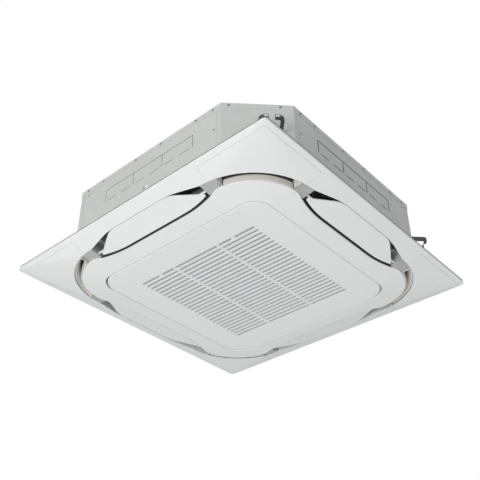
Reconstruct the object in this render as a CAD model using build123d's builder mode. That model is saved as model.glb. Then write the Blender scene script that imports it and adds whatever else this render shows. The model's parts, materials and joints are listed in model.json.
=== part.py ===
from build123d import *
import os
from math import cos, radians, sin, sqrt

# Four-way ceiling cassette air conditioner, millimetres.
# Origin: centre of the ceiling plane, on which the panel's rim bears. +Z points up into the
# ceiling void, so the panel hangs below z = 0 and the casing stands above it.
# Side pieces are drawn on the +X side and corner pieces at the +X +Y corner, then turned.

# ---------------------------------------------------------------- driving dimensions
# Casing above the ceiling
casing_half = 420.0
casing_chamfer = 136.0
casing_bottom = 12.0
casing_top = 216.0
sheet = 1.2
skirt_height = 17.0
corner_fold = 16.0
bead_height = 2.5
bead_width = 14.0
bead_length = 190.0
bead_middle = 260.0

# Decoration panel
panel_half = 475.0
panel_corner_radius = 12.0
rim_height = 6.0
rim_width = 4.0
wall = 2.5
seat_height = 6.0
frame_width = 60.0
opening_half = panel_half - frame_width
opening_corner_radius = 203.0
opening_edge_drop = 24.0
bulge_half = opening_half + 21.5
bulge_end = opening_half - 206.0
bulge_straight = bulge_end - 93.0
bulge_radius = 250.0
cover_margin = 15.0
cover_start = panel_half - 235.0
seam = 0.6

# Fixed ring round the suction grille
ring_half = opening_half - 31.0
ring_corner_radius = 152.0
ring_edge_drop = 33.0
ring_inner_top = -16.0
recess_half = ring_half - 25.0
recess_end = ring_half - 138.0
recess_straight = recess_end - 141.0
recess_radius = 350.0
recess_corner_radius = 35.0

# Suction grille and filter
grille_half = ring_half - 80.0
grille_corner_radius = 60.0
grille_seam = 2.0
opening_radius = 54.0
lip_chamfer = 1.5
face_drop = 41.5
grille_skin = 2.0
grille_rim_height = 8.5
grille_edge = 2.0
grille_rim_width = 2.0
louvre_count = 26
louvre_pitch = 16.8
louvre_slot = 10.4
louvre_length = 430.0
louvre_depth = 6.0
louvre_margin = 14.0
cross_rib_place = 84.0
cross_rib_width = 7.0
short_rib_place = 140.0
short_rib_width = 12.0
filter_half = grille_half - 68.0
filter_height = 6.0
filter_border = 9.0
filter_rib = 2.5
filter_cells = 4
net_thickness = 0.8

# Grille hinge
hinge_place = grille_half - 8.0
hinge_rise = 4.4
hinge_pin_radius = 1.3
knuckle_radius = 3.0
knuckle_width = 16.0
hinge_post_width = 5.0
hinge_post_radius = 2.0
hinge_tab_gap = 12.6
hinge_flange = 2.5
hinge_spread = 180.0
hinge_tab_height = 3.0
running_gap = 0.06
side_gap = 0.5
catch_place = 150.0
catch_out = grille_half - 6.5
catch_width = 20.0
catch_depth = 13.0
catch_bottom = -27.6
catch_top = -17.0
catch_plunger_radius = 2.5
catch_travel = 3.0

# Air flaps
flap_outer = bulge_half - 1.7
flap_tip = bulge_end - 6.0
flap_straight = flap_tip - 91.0
flap_tip_outer = opening_half - 34.0
flap_gap = 7.0
flap_thickness = 3.0
flap_inner_drop = 31.0
flap_outer_drop = 17.0
flap_axis_out = opening_half - 27.0
flap_axis_drop = 22.5
flap_bar_radius = 2.8
flap_pin_radius = 2.0
flap_pin_reach = flap_tip + 12.0
flap_shoulder_radius = 90.0
flap_tip_radius = 3.5

# Bridge boxes between the ring and the frame, beside each flap
bridge_start = flap_tip + 6.0
bridge_end = bridge_start + 44.0
bridge_wall = 2.0
fit_gap = 0.4
deck_thickness = 3.0
deck_half = opening_half + 25.0
deck_corner_radius = opening_corner_radius + 25.0
deck_inner_half = grille_half + 12.0
deck_inner_radius = 60.0
bridge_lap = 4.0
bridge_recess = 4.0
bridge_tilt = 0.62
panel_screw_out = 326.0
panel_screw_place = 180.0
panel_screw_radius = 2.5
panel_screw_length = 14.0
liner_recess = 3.0
liner_wall = 3.0
seal_height = casing_bottom - seat_height - deck_thickness
flap_motor_radius = 10.0
flap_motor_length = 12.0
flap_motor_out = flap_axis_out + 6.0
flap_motor_drop = 14.0
gearbox_depth = 4.5
gearbox_nose = 3.5

# Casing lining, drain pan and outlets
flange_width = 12.0
lining_top = 10.0
lining_joint = 0.3
motor_well_radius = 110.0
pan_height = 34.0
pan_centre_half = 262.0
pan_centre_radius = 80.0
outlet_outer_half = 402.0
outlet_outer_radius = 210.0
outlet_inner_half = 346.0
outlet_inner_radius = 125.0
outlet_bridge_start = 195.0
outlet_bridge_end = 262.0
trough_depth = 14.0
trough_margin = 10.0
seal_width = 8.0
clearance = 0.3

# Heat exchanger
coil_outer_half = 322.0
coil_thickness = 38.0
coil_corner_radius = 100.0
coil_lift = 4.0
fin_groove = 1.6
fin_groove_depth = 3.0
fin_pitch = 20.0
end_plate = 1.5
tube_radius = 3.5
bend_radius = 10.5
bend_count = 3
bend_pitch = 48.0
bend_bottom = 72.0

# Fan, motor and bell mouth
fan_radius = 228.0
fan_bottom = 54.0
fan_top = 188.0
fan_wall = 2.5
eye_radius = 198.0
blade_count = 7
blade_inner_radius = 118.0
blade_sweep = 40.0
blade_thickness = 6.0
hub_radius = 112.0
hub_floor_radius = 78.0
hub_floor = 116.0
boss_radius = 15.0
boss_bottom = 113.0
boss_top = 124.0
shaft_radius = 6.0
shaft_bottom = 101.0
shaft_top = 172.0
shaft_fit = 0.02
bearing_fit = 0.05
nut_height = 9.0
nut_radius = 11.0
motor_radius = 62.0
motor_bottom = 126.0
motor_top = 194.0
isolator_place = 86.0
isolator_radius = 9.0
ear_radius = 14.0
ear_thickness = 4.0
bell_radius = 190.0
bell_curve = 48.0
bell_wall = 3.0
bell_lip = 4.0
bell_flange_half = 288.0
bell_flange_radius = 90.0

# Hangers
bolt_pitch_x = 710.0
bolt_pitch_y = 780.0
hanger_height = 110.0
hanger_sheet = 2.5
hanger_width = 58.0
hanger_hole_radius = 8.0
hanger_mouth = 10.8
hanger_plate_height = 46.0
hanger_tip = 19.0
hanger_tab = 6.0
hanger_corner = 9.0

# Knock-outs and screws in the casing sides
knockout_cell = 116.0
knockout_height = 42.0
knockout_bottom = 122.0
knockout_shift = -8.0
slit_width = 1.4
dash_length = 34.0
head_radius = 4.0
head_height = 2.0
skirt_screws = (-232.0, -181.0, -60.0, 34.0, 172.0, 222.0)
skirt_screw_rise = 207.5
chamfer_screw_place = 79.0
side_screw_rise = 82.0

# Pipes
gas_pipe_radius = 7.94
liquid_pipe_radius = 4.76
pipe_wall = 1.0
pipe_reach = 62.0
pipe_offset = -52.0
gas_pipe_height = 160.0
liquid_pipe_height = 108.0
header_radius = 9.0
header_depth = 88.0
header_height = 68.0
liquid_header_middle = 80.0
feeder_pitch = 24.0
gas_nut_radius = 16.0
liquid_nut_radius = 11.0
flare_nut_length = 20.0
cover_plate_width = 46.0
cover_plate_height = 96.0

# Drain
drain_pipe_radius = 16.0
drain_pipe_wall = 2.5
drain_pipe_place = -215.0
drain_pipe_height = 165.0
drain_pipe_reach = 44.0
drain_flange_radius = 26.0
drain_socket_depth = 26.0
pump_place = (-312.0, 322.0)
pump_radius = 25.0
pump_bottom = 60.0
pump_height = 52.0
spigot_radius = 8.0
spigot_length = 14.0
hose_wall = 4.0
hose_bend = 14.0
float_place = (-345.0, 278.0)
float_radius = 14.0
float_height = 16.0
float_travel = 12.0
float_rest = 50.0
stem_radius = 3.0

# Cable inlet
gland_place = -230.0
gland_height = 90.0
gland_radius = 9.0
gland_nut_radius = 14.0
cable_hole_radius = 5.0

# Control box
box_width = 340.0
box_depth = 40.0
box_bottom = -20.0
box_outer = 292.0
board_middle = -40.0
board_length = 220.0
board_margin = 3.0
board_thickness = 1.6
board_stand = 4.0
board_post_inset = 10.0
board_post_width = 6.0
board_post_depth = 10.0
terminal_middle = 115.0
terminal_length = 72.0
terminal_depth = 24.0
terminal_height = 12.0
terminal_count = 6
terminal_pitch = 12.0
terminal_rib_width = 2.0
terminal_rib_height = 5.0

quarter_turns = {"right": 0, "rear": 90, "left": 180, "front": 270}
corner_turns = {"rear_right": 0, "rear_left": 90, "front_left": 180, "front_right": 270}
shell_half = casing_half - sheet
root_two = sqrt(2)
chamfer_out = (2 * casing_half - casing_chamfer) / root_two

os.makedirs("parts", exist_ok=True)


def save(piece, name):
    piece.label = name
    export_step(piece, f"parts/{name}.step")


def save_turned(piece, name, turns):
    """Writes one copy of a side or corner piece for each side or corner."""
    for place, angle in turns.items():
        save(piece.rotate(Axis.Z, angle), f"{name}_{place}")


# ---------------------------------------------------------------- outlines
def rounded_square(half, radius):
    with BuildSketch() as outline:
        RectangleRounded(2 * half, 2 * half, radius)
    return outline.sketch


def octagon(inset):
    """The casing's plan, a square with cut corners, smaller by inset all round."""
    half = casing_half - inset
    cut = casing_chamfer - inset * (2 - root_two)
    with BuildSketch() as outline:
        Rectangle(2 * half, 2 * half)
        chamfer(outline.vertices(), cut)
    return outline.sketch


def opening_outline(gap=0.0):
    """The frame's opening: a rounded square that swells over each flap, smaller by gap."""
    with BuildSketch() as outline:
        RectangleRounded(2 * opening_half, 2 * opening_half, opening_corner_radius)
        for angle in quarter_turns.values():
            with Locations(Location((0, 0, 0), (0, 0, angle))):
                Polygon(
                    (opening_half - 20, -bulge_end), (opening_half, -bulge_end),
                    (bulge_half, -bulge_straight), (bulge_half, bulge_straight),
                    (opening_half, bulge_end), (opening_half - 20, bulge_end), align=None,
                )
        fillet(outline.vertices().filter_by(lambda v: max(abs(v.X), abs(v.Y)) > bulge_half - 1), bulge_radius)
        if gap:
            offset(amount=-gap)
    return outline.sketch


def ring_outline(gap=0.0):
    """The fixed ring: a rounded square with a shallow recess beside each flap, larger by gap."""
    run = recess_end - recess_straight
    rise = recess_radius - sqrt(recess_radius**2 - run**2)
    far = ring_half + 40
    with BuildSketch() as recess:
        with BuildLine():
            Line((recess_half, -recess_straight), (recess_half, recess_straight))
            TangentArc((recess_half, recess_straight), (recess_half + rise, recess_end), tangent=(0, 1))
            Polyline((recess_half + rise, recess_end), (far, recess_end), (far, -recess_end),
                     (recess_half + rise, -recess_end))
            TangentArc((recess_half, -recess_straight), (recess_half + rise, -recess_end), tangent=(0, -1))
        make_face()
    with BuildSketch() as outline:
        RectangleRounded(2 * ring_half, 2 * ring_half, ring_corner_radius)
        for angle in quarter_turns.values():
            add(recess.sketch.rotate(Axis.Z, angle), mode=Mode.SUBTRACT)
        shoulder = ring_half - ring_corner_radius
        ends = outline.vertices().filter_by(
            lambda v: max(abs(v.X), abs(v.Y)) > ring_half - 2 and abs(min(abs(v.X), abs(v.Y)) - shoulder) < 8)
        fillet(ends, recess_corner_radius)
        if gap:
            offset(amount=gap)
    return outline.sketch


def side_band(start, end):
    """Strips across the panel between start and end from the centre line, on all four sides."""
    middle = (start + end) / 2
    with BuildSketch() as strips:
        with Locations((0, middle), (0, -middle)):
            Rectangle(2 * panel_half, end - start)
        with Locations((middle, 0), (-middle, 0)):
            Rectangle(end - start, 2 * panel_half)
    return strips.sketch


# ---------------------------------------------------------------- panel frame
face_slope = (opening_edge_drop - rim_height) / (panel_half - opening_half)
inner_half = opening_half - 6
inner_drop = rim_height + face_slope * (panel_half - inner_half)


def frame_body(lift, inset):
    """Tapered body under the frame's face, raised by lift and drawn in at its rim by inset."""
    with BuildPart() as body:
        with BuildSketch(Plane.XY.offset(lift - rim_height)):
            RectangleRounded(2 * (panel_half - inset), 2 * (panel_half - inset), panel_corner_radius - inset / 2)
        with BuildSketch(Plane.XY.offset(lift - inner_drop)):
            RectangleRounded(2 * inner_half, 2 * inner_half, opening_corner_radius - 6)
        loft(ruled=True)
    return body.part


cover_end = panel_half - cover_margin
cover_middle = (cover_start + cover_end) / 2
cover_size = cover_end - cover_start
with BuildPart() as cover_floor:
    with BuildSketch(Plane.XY.offset(-inner_drop - 2)):
        with Locations((cover_middle, cover_middle)):
            Rectangle(cover_size + 2 * (seam + wall), cover_size + 2 * (seam + wall))
    extrude(amount=inner_drop + 2)
    add(frame_body(2 * wall + clearance, 0), mode=Mode.SUBTRACT)

with BuildPart() as frame_hollow:
    add(frame_body(wall, rim_width))
    with BuildSketch(Plane.XY.offset(wall - rim_height)):
        add(rounded_square(panel_half - rim_width, panel_corner_radius - rim_width / 2))
    extrude(amount=rim_height)
    with BuildSketch(Plane.XY.offset(-inner_drop)):
        add(opening_outline(-wall))
    extrude(amount=inner_drop + wall, mode=Mode.SUBTRACT)
    for angle in corner_turns.values():
        add(cover_floor.part.rotate(Axis.Z, angle), mode=Mode.SUBTRACT)

with BuildPart() as cover_zone:
    with BuildSketch(Plane.XY.offset(-inner_drop - 1)):
        with Locations((cover_middle, cover_middle)):
            Rectangle(cover_size, cover_size)
    extrude(amount=inner_drop + 1)

with BuildPart() as corner_cover:
    add(frame_body(0, 0))
    add(frame_body(wall, 0), mode=Mode.SUBTRACT)
    add(cover_zone.part, mode=Mode.INTERSECT)
    with BuildSketch(Plane.XY.offset(-inner_drop - 1)):
        add(opening_outline())
    extrude(amount=inner_drop + 1, mode=Mode.SUBTRACT)
save_turned(corner_cover.part, "corner_cover", corner_turns)

with BuildPart() as cover_recess:
    with BuildSketch(Plane.XY.offset(-inner_drop - 2)):
        with Locations((cover_middle, cover_middle)):
            Rectangle(cover_size + 2 * seam, cover_size + 2 * seam)
    extrude(amount=inner_drop + 2 - rim_height + clearance)
    add(frame_body(wall + clearance, 0), mode=Mode.SUBTRACT)

with BuildPart() as panel_frame:
    add(frame_body(0, 0))
    with BuildSketch(Plane.XY.offset(-rim_height)):
        add(rounded_square(panel_half, panel_corner_radius))
    extrude(amount=rim_height)
    add(frame_hollow.part, mode=Mode.SUBTRACT)
    with BuildSketch(Plane.XY.offset(-rim_height)):
        add(opening_outline(-wall))
    extrude(amount=rim_height + seat_height)
    with BuildSketch(Plane.XY.offset(-inner_drop - 1)):
        add(opening_outline())
    extrude(amount=inner_drop + seat_height + 2, mode=Mode.SUBTRACT)
    for angle in corner_turns.values():
        add(cover_recess.part.rotate(Axis.Z, angle), mode=Mode.SUBTRACT)
save(panel_frame.part, "panel_frame")

# ---------------------------------------------------------------- panel ring
grille_opening = grille_half + grille_seam


def ring_body(lift):
    """Tapered body under the ring's face, raised by lift, with its straight top part."""
    with BuildPart() as body:
        with BuildSketch(Plane.XY.offset(lift - ring_edge_drop)):
            RectangleRounded(2 * ring_half, 2 * ring_half, ring_corner_radius)
        with BuildSketch(Plane.XY.offset(lift - face_drop)):
            RectangleRounded(2 * grille_opening, 2 * grille_opening, opening_radius)
        loft(ruled=True)
        with BuildSketch(Plane.XY.offset(lift - ring_edge_drop)):
            RectangleRounded(2 * ring_half, 2 * ring_half, ring_corner_radius)
        extrude(amount=ring_edge_drop + seat_height)
    return body.part


with BuildPart() as ring_hollow:
    add(ring_body(wall))
    with BuildSketch(Plane.XY.offset(-face_drop)):
        add(ring_outline(-wall))
        add(rounded_square(grille_opening + wall, opening_radius + wall), mode=Mode.SUBTRACT)
    extrude(amount=face_drop + seat_height + 2 * wall, mode=Mode.INTERSECT)

with BuildPart() as ring_lip:
    with BuildSketch(Plane.XY.offset(-face_drop - lip_chamfer)):
        add(rounded_square(grille_opening + 2 * lip_chamfer, opening_radius + 2 * lip_chamfer))
    with BuildSketch(Plane.XY.offset(-face_drop + lip_chamfer)):
        add(rounded_square(grille_opening, opening_radius))
    loft(ruled=True)

with BuildPart() as panel_ring:
    add(ring_body(0))
    with BuildSketch(Plane.XY.offset(-face_drop - 1)):
        add(ring_outline())
        add(rounded_square(grille_opening, opening_radius), mode=Mode.SUBTRACT)
    extrude(amount=face_drop + seat_height + 2, mode=Mode.INTERSECT)
    add(ring_hollow.part, mode=Mode.SUBTRACT)
    with BuildSketch(Plane.XY.offset(ring_inner_top)):
        add(rounded_square(grille_opening + wall + 1, opening_radius + wall))
    extrude(amount=seat_height - ring_inner_top + 1, mode=Mode.SUBTRACT)
    add(ring_lip.part, mode=Mode.SUBTRACT)
save(panel_ring.part, "panel_ring")

# ---------------------------------------------------------------- panel deck with bridge boxes
bridge_slope = (ring_edge_drop - opening_edge_drop) / (opening_half - ring_half)


def bridge_floor(out):
    """Height of a bridge box's underside at the distance out from the centre."""
    return bridge_recess - ring_edge_drop + bridge_tilt * bridge_slope * (out - ring_half)


def bridge_blocks(lift, inset, top):
    """The two bridge blocks of the +X side, up to top, drawn in by inset, floor raised by lift."""
    near, far = recess_half - 10, bulge_half
    with BuildPart() as blocks:
        with BuildSketch(Plane.XZ):
            Polygon((near, bridge_floor(near) + lift), (far, bridge_floor(far) + lift),
                    (far, top), (near, top), align=None)
        extrude(amount=bridge_end, both=True)
        with BuildSketch(Plane.XY.offset(-face_drop)):
            add(opening_outline(fit_gap + inset))
            add(ring_outline(fit_gap + inset), mode=Mode.SUBTRACT)
            add(side_band(bridge_start + inset, bridge_end - inset), mode=Mode.INTERSECT)
        extrude(amount=face_drop + top, mode=Mode.INTERSECT)
    return blocks.part


deck_top = seat_height + deck_thickness
with BuildPart() as panel_deck:
    with BuildSketch(Plane.XY.offset(seat_height)):
        add(rounded_square(deck_half, deck_corner_radius))
        add(rounded_square(deck_inner_half, deck_inner_radius), mode=Mode.SUBTRACT)
    extrude(amount=deck_thickness)
    with BuildSketch(Plane.XY.offset(seat_height)):
        add(opening_outline())
        add(ring_outline(), mode=Mode.SUBTRACT)
        add(side_band(bridge_start - bridge_lap, bridge_end + bridge_lap), mode=Mode.SUBTRACT)
    extrude(amount=deck_thickness, mode=Mode.SUBTRACT)
    outer_blocks = bridge_blocks(0, 0, seat_height)
    inner_blocks = bridge_blocks(bridge_wall, bridge_wall, deck_top)
    for angle in quarter_turns.values():
        add(outer_blocks.rotate(Axis.Z, angle))
        add(inner_blocks.rotate(Axis.Z, angle), mode=Mode.SUBTRACT)
        with BuildSketch(Plane.XZ.rotated((0, 0, angle))):
            with Locations((flap_axis_out, -flap_axis_drop)):
                Circle(flap_pin_radius + running_gap)
        extrude(amount=bridge_start + bridge_wall + 1, both=True, mode=Mode.SUBTRACT)
    with BuildSketch(Plane.XY.offset(seat_height)):
        with GridLocations(2 * panel_screw_out, 2 * panel_screw_place, 2, 2):
            Circle(panel_screw_radius + clearance)
    extrude(amount=deck_thickness, mode=Mode.SUBTRACT)
save(panel_deck.part, "panel_deck")

# ---------------------------------------------------------------- corner outlet liners
with BuildPart() as outlet_liner:
    with BuildSketch(Plane.XY.offset(-ring_edge_drop + liner_recess)):
        add(opening_outline(fit_gap))
        add(ring_outline(fit_gap), mode=Mode.SUBTRACT)
        with Locations((panel_half / 2 + bridge_end / 2, panel_half / 2 + bridge_end / 2)):
            Rectangle(panel_half - bridge_end - 2 * bridge_lap, panel_half - bridge_end - 2 * bridge_lap,
                      mode=Mode.INTERSECT)
    extrude(amount=ring_edge_drop - liner_recess + seat_height)
    with BuildSketch(Plane.XY.offset(-ring_edge_drop)):
        add(rounded_square(panel_half, panel_corner_radius))
        add(ring_outline(fit_gap + liner_wall), mode=Mode.SUBTRACT)
        for angle in (0, 90):
            with Locations(Location((0, 0, 0), (0, 0, angle))):
                with Locations((panel_half / 2, bridge_end + bridge_lap + liner_wall / 2)):
                    Rectangle(panel_half, liner_wall, mode=Mode.SUBTRACT)
                with Locations((panel_half / 2, -bridge_end - bridge_lap - liner_wall / 2)):
                    Rectangle(panel_half, liner_wall, mode=Mode.SUBTRACT)
    extrude(amount=ring_edge_drop + seat_height, mode=Mode.SUBTRACT)
save_turned(outlet_liner.part, "outlet_liner", corner_turns)

# ---------------------------------------------------------------- air flaps
flap_slope = (flap_inner_drop - flap_outer_drop) / (flap_outer - recess_half - flap_gap)
flap_taper = (flap_outer - flap_tip_outer) / (flap_tip - flap_straight)


def flap_floor(out):
    return -flap_inner_drop + flap_slope * (out - recess_half - flap_gap)


with BuildPart() as flap:
    with BuildSketch(Plane.XZ):
        Polygon(
            (recess_half, flap_floor(recess_half)), (flap_outer, flap_floor(flap_outer)),
            (flap_outer, flap_floor(flap_outer) + 1),
            (flap_outer - 2.5, flap_floor(flap_outer - 2.5) + flap_thickness),
            (recess_half, flap_floor(recess_half) + flap_thickness), align=None,
        )
    extrude(amount=bridge_start, both=True)
    with BuildSketch(Plane.XY.offset(-face_drop)) as flap_plan:
        tip = bridge_start + 5
        Polygon(
            (recess_half, -tip), (flap_tip_outer - flap_taper * (tip - flap_tip), -tip),
            (flap_outer, -flap_straight), (flap_outer, flap_straight),
            (flap_tip_outer - flap_taper * (tip - flap_tip), tip), (recess_half, tip), align=None,
        )
        add(ring_outline(flap_gap), mode=Mode.SUBTRACT)
        fillet(flap_plan.vertices().filter_by(lambda v: v.X > flap_outer - 1), flap_shoulder_radius)
        fillet(flap_plan.vertices().filter_by(lambda v: abs(v.Y) > flap_tip - 5), flap_tip_radius)
    extrude(amount=face_drop, mode=Mode.INTERSECT)
    with BuildSketch(Plane.XZ):
        with Locations((flap_axis_out, -flap_axis_drop)):
            Circle(flap_bar_radius)
    extrude(amount=flap_tip + 3, both=True)
    with BuildSketch(Plane.XZ):
        with Locations((flap_axis_out, -flap_axis_drop)):
            Circle(flap_pin_radius)
    extrude(amount=flap_pin_reach, both=True)
save_turned(flap.part, "flap", quarter_turns)

# ---------------------------------------------------------------- flap motors
with BuildPart() as flap_motor:
    motor_face = bridge_start + bridge_wall + clearance
    with BuildSketch(Plane.XZ.offset(-motor_face)):
        with Locations((flap_axis_out, -flap_axis_drop)):
            Circle(gearbox_nose)
        with Locations((flap_motor_out, -flap_motor_drop)):
            Circle(flap_motor_radius)
        make_hull()
    extrude(amount=-gearbox_depth)
    with BuildSketch(Plane.XZ.offset(-motor_face - gearbox_depth)):
        with Locations((flap_motor_out, -flap_motor_drop)):
            Circle(flap_motor_radius)
    extrude(amount=-flap_motor_length)
    with BuildSketch(Plane.XZ.offset(-motor_face)):
        with Locations((flap_axis_out, -flap_axis_drop)):
            Circle(flap_pin_radius + running_gap)
    extrude(amount=-(flap_pin_reach - motor_face + clearance), mode=Mode.SUBTRACT)
save_turned(flap_motor.part, "flap_motor", quarter_turns)

# ---------------------------------------------------------------- suction grille
hinge_z = hinge_rise - face_drop
post_place = knuckle_width / 2 + side_gap + hinge_post_width / 2
tab_width = 2 * post_place + hinge_post_width
field_half = (louvre_count - 1) * louvre_pitch / 2


def span(start, end):
    """Middle and length of a run from start to end."""
    return (start + end) / 2, end - start


with BuildPart() as suction_grille:
    with BuildSketch(Plane.XY.offset(-face_drop)):
        add(rounded_square(grille_half, grille_corner_radius))
    extrude(amount=grille_rim_height)
    chamfer(suction_grille.edges().group_by(Axis.Z)[0], grille_edge)
    with BuildSketch(Plane.XY.offset(-face_drop + grille_skin)):
        add(rounded_square(grille_half - grille_rim_width, grille_corner_radius - grille_rim_width))
    extrude(amount=grille_rim_height, mode=Mode.SUBTRACT)
    with BuildSketch(Plane.XY.offset(-face_drop)):
        RectangleRounded(2 * (field_half + louvre_margin), louvre_length + 2 * louvre_margin, 4)
    extrude(amount=louvre_depth)
    for angle in quarter_turns.values():
        with Locations(Location((0, 0, 0), (0, 0, angle))):
            for place in (-150, 0, 150):
                middle, length = span(field_half, grille_half - 1)
                with Locations((middle, place, -face_drop + louvre_depth / 2)):
                    Box(length, 1.6, louvre_depth)
    with BuildSketch(Plane.XY.offset(-face_drop)):
        with GridLocations(louvre_pitch, 1, louvre_count, 1):
            Rectangle(louvre_slot, louvre_length)
        with Locations((0, -cross_rib_place), (0, cross_rib_place)):
            Rectangle(2 * field_half + louvre_pitch, cross_rib_width, mode=Mode.SUBTRACT)
        with Locations((-field_half, -short_rib_place), (-field_half, short_rib_place)):
            Rectangle(louvre_pitch, short_rib_width, mode=Mode.SUBTRACT)
    extrude(amount=louvre_depth, mode=Mode.SUBTRACT)
    for place in (-hinge_spread, hinge_spread):
        with Locations((place, grille_half, grille_skin - face_drop + grille_rim_height / 2)):
            Box(tab_width + 2 * side_gap, 3 * grille_rim_width, grille_rim_height, mode=Mode.SUBTRACT)
        with Locations((place, hinge_place, hinge_z)):
            Cylinder(knuckle_radius, knuckle_width, rotation=(0, 90, 0))
        with Locations((place, hinge_place, hinge_z - hinge_rise / 2)):
            Box(knuckle_width, 2 * knuckle_radius - 1.6, hinge_rise - grille_skin / 2)
        with Locations((place, hinge_place, hinge_z)):
            Cylinder(hinge_pin_radius + running_gap, 2 * knuckle_width, rotation=(0, 90, 0), mode=Mode.SUBTRACT)
    for place in (-catch_place, catch_place):
        with Locations((place, -catch_out, -face_drop + grille_rim_height / 2)):
            Box(catch_width - 2 * clearance - 6, 8, grille_rim_height)
save(suction_grille.part, "suction_grille")

# ---------------------------------------------------------------- grille hinge and catches
tab_bottom = hinge_z + hinge_tab_gap
with BuildPart() as grille_hinge_brackets:
    for place in (-hinge_spread, hinge_spread):
        tab_start = hinge_place - hinge_post_radius
        middle, length = span(tab_start, grille_opening)
        with Locations((place, middle, tab_bottom + hinge_tab_height / 2)):
            Box(tab_width, length, hinge_tab_height)
        middle, length = span(tab_bottom, ring_inner_top)
        with Locations((place, grille_opening - hinge_flange / 2, middle)):
            Box(tab_width, hinge_flange, length)
        for side in (-post_place, post_place):
            middle, length = span(hinge_z, tab_bottom)
            with Locations((place + side, hinge_place, middle)):
                Box(hinge_post_width, 2 * hinge_post_radius, length)
            with Locations((place + side, hinge_place, hinge_z)):
                Cylinder(hinge_post_radius, hinge_post_width, rotation=(0, 90, 0))
        with Locations((place, hinge_place, hinge_z)):
            Cylinder(hinge_pin_radius + 0.01, tab_width + 2, rotation=(0, 90, 0), mode=Mode.SUBTRACT)
save(grille_hinge_brackets.part, "grille_hinge_brackets")

with BuildPart() as grille_hinge_pins:
    with Locations((-hinge_spread, hinge_place, hinge_z), (hinge_spread, hinge_place, hinge_z)):
        Cylinder(hinge_pin_radius, tab_width, rotation=(0, 90, 0))
save(grille_hinge_pins.part, "grille_hinge_pins")

pad_top = -face_drop + grille_rim_height
with BuildPart() as grille_catches:
    for place in (-catch_place, catch_place):
        middle, length = span(catch_bottom, catch_top)
        with Locations((place, -grille_opening + catch_depth / 2, middle)):
            Box(catch_width, catch_depth, length)
        with Locations((place, -catch_out, catch_bottom + (catch_top - catch_bottom - wall) / 2)):
            Cylinder(catch_plunger_radius + running_gap, catch_top - catch_bottom - wall, mode=Mode.SUBTRACT)
save(grille_catches.part, "grille_catches")

for side, place in {"left": -catch_place, "right": catch_place}.items():
    middle, length = span(pad_top + clearance, catch_top - wall - catch_travel - 1)
    with BuildPart() as catch_plunger:
        with Locations((place, -catch_out, middle)):
            Cylinder(catch_plunger_radius, length)
        with Locations((place, -catch_out, pad_top + clearance + 0.75)):
            Cylinder(catch_plunger_radius + 1.2, 1.5)
    save(catch_plunger.part, f"catch_plunger_{side}")

# ---------------------------------------------------------------- air filter
filter_bottom = louvre_depth - face_drop
cell = 2 * (filter_half - filter_border) / filter_cells
with BuildPart() as filter_frame:
    with BuildSketch(Plane.XY.offset(filter_bottom)):
        RectangleRounded(2 * filter_half, 2 * filter_half, 8)
        with GridLocations(cell, cell, filter_cells, filter_cells):
            Rectangle(cell - filter_rib, cell - filter_rib, mode=Mode.SUBTRACT)
    extrude(amount=filter_height)
    with BuildSketch(Plane.XY.offset(filter_bottom + filter_height / 2)):
        Rectangle(2 * (filter_half - filter_border / 2), 2 * (filter_half - filter_border / 2))
    extrude(amount=net_thickness, mode=Mode.SUBTRACT)
save(filter_frame.part, "filter_frame")

with BuildPart() as filter_net:
    with BuildSketch(Plane.XY.offset(filter_bottom + filter_height / 2)):
        Rectangle(2 * (filter_half - filter_border / 2), 2 * (filter_half - filter_border / 2))
    extrude(amount=net_thickness)
save(filter_net.part, "filter_net")

# ---------------------------------------------------------------- casing
pan_top = casing_bottom + pan_height
pan_seat = casing_bottom + sheet
lid_height = casing_top - sheet
lining_bottom = lid_height - lining_top
shell_chamfer_out = chamfer_out - sheet
mirrored_sides = {0: 1, 90: -1, 180: -1, 270: 1}


def wall_plane(angle, out):
    """Plane facing outwards at the distance out: first axis anticlockwise along the wall, second up."""
    turn = radians(angle)
    return Plane(origin=(out * cos(turn), out * sin(turn), 0),
                 x_dir=(-sin(turn), cos(turn), 0), z_dir=(cos(turn), sin(turn), 0))


def knockout_slits():
    """Pre-cut outline of three knock-out cells in a row, seen on a side wall."""
    middle = knockout_bottom + knockout_height / 2
    with BuildSketch() as slits:
        with Locations(*[(knockout_shift + step * knockout_cell, middle) for step in (-1.5, -0.5, 0.5, 1.5)]):
            Rectangle(slit_width, knockout_height)
        with Locations(*[(knockout_shift + step * knockout_cell / 4, middle + edge * knockout_height / 2)
                         for step in (-5, -3, -1, 1, 3, 5) for edge in (-1, 1)]):
            Rectangle(dash_length, slit_width)
    return slits.sketch


def wall_openings():
    """Openings through shell and lining for the pipes, the drain and the cable."""
    with BuildPart() as openings:
        with BuildSketch(wall_plane(45, chamfer_out - 60)):
            with Locations((pipe_offset, (gas_pipe_height + liquid_pipe_height) / 2)):
                Rectangle(cover_plate_width - 12, cover_plate_height - 12)
        extrude(amount=65)
        with BuildSketch(wall_plane(90, casing_half - 30)):
            with Locations((-drain_pipe_place, drain_pipe_height)):
                Circle(drain_pipe_radius + clearance)
        extrude(amount=32)
        with BuildSketch(wall_plane(0, casing_half - 30)):
            with Locations((gland_place, gland_height)):
                Circle(gland_radius + clearance)
        extrude(amount=32)
    return openings.part


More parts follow.
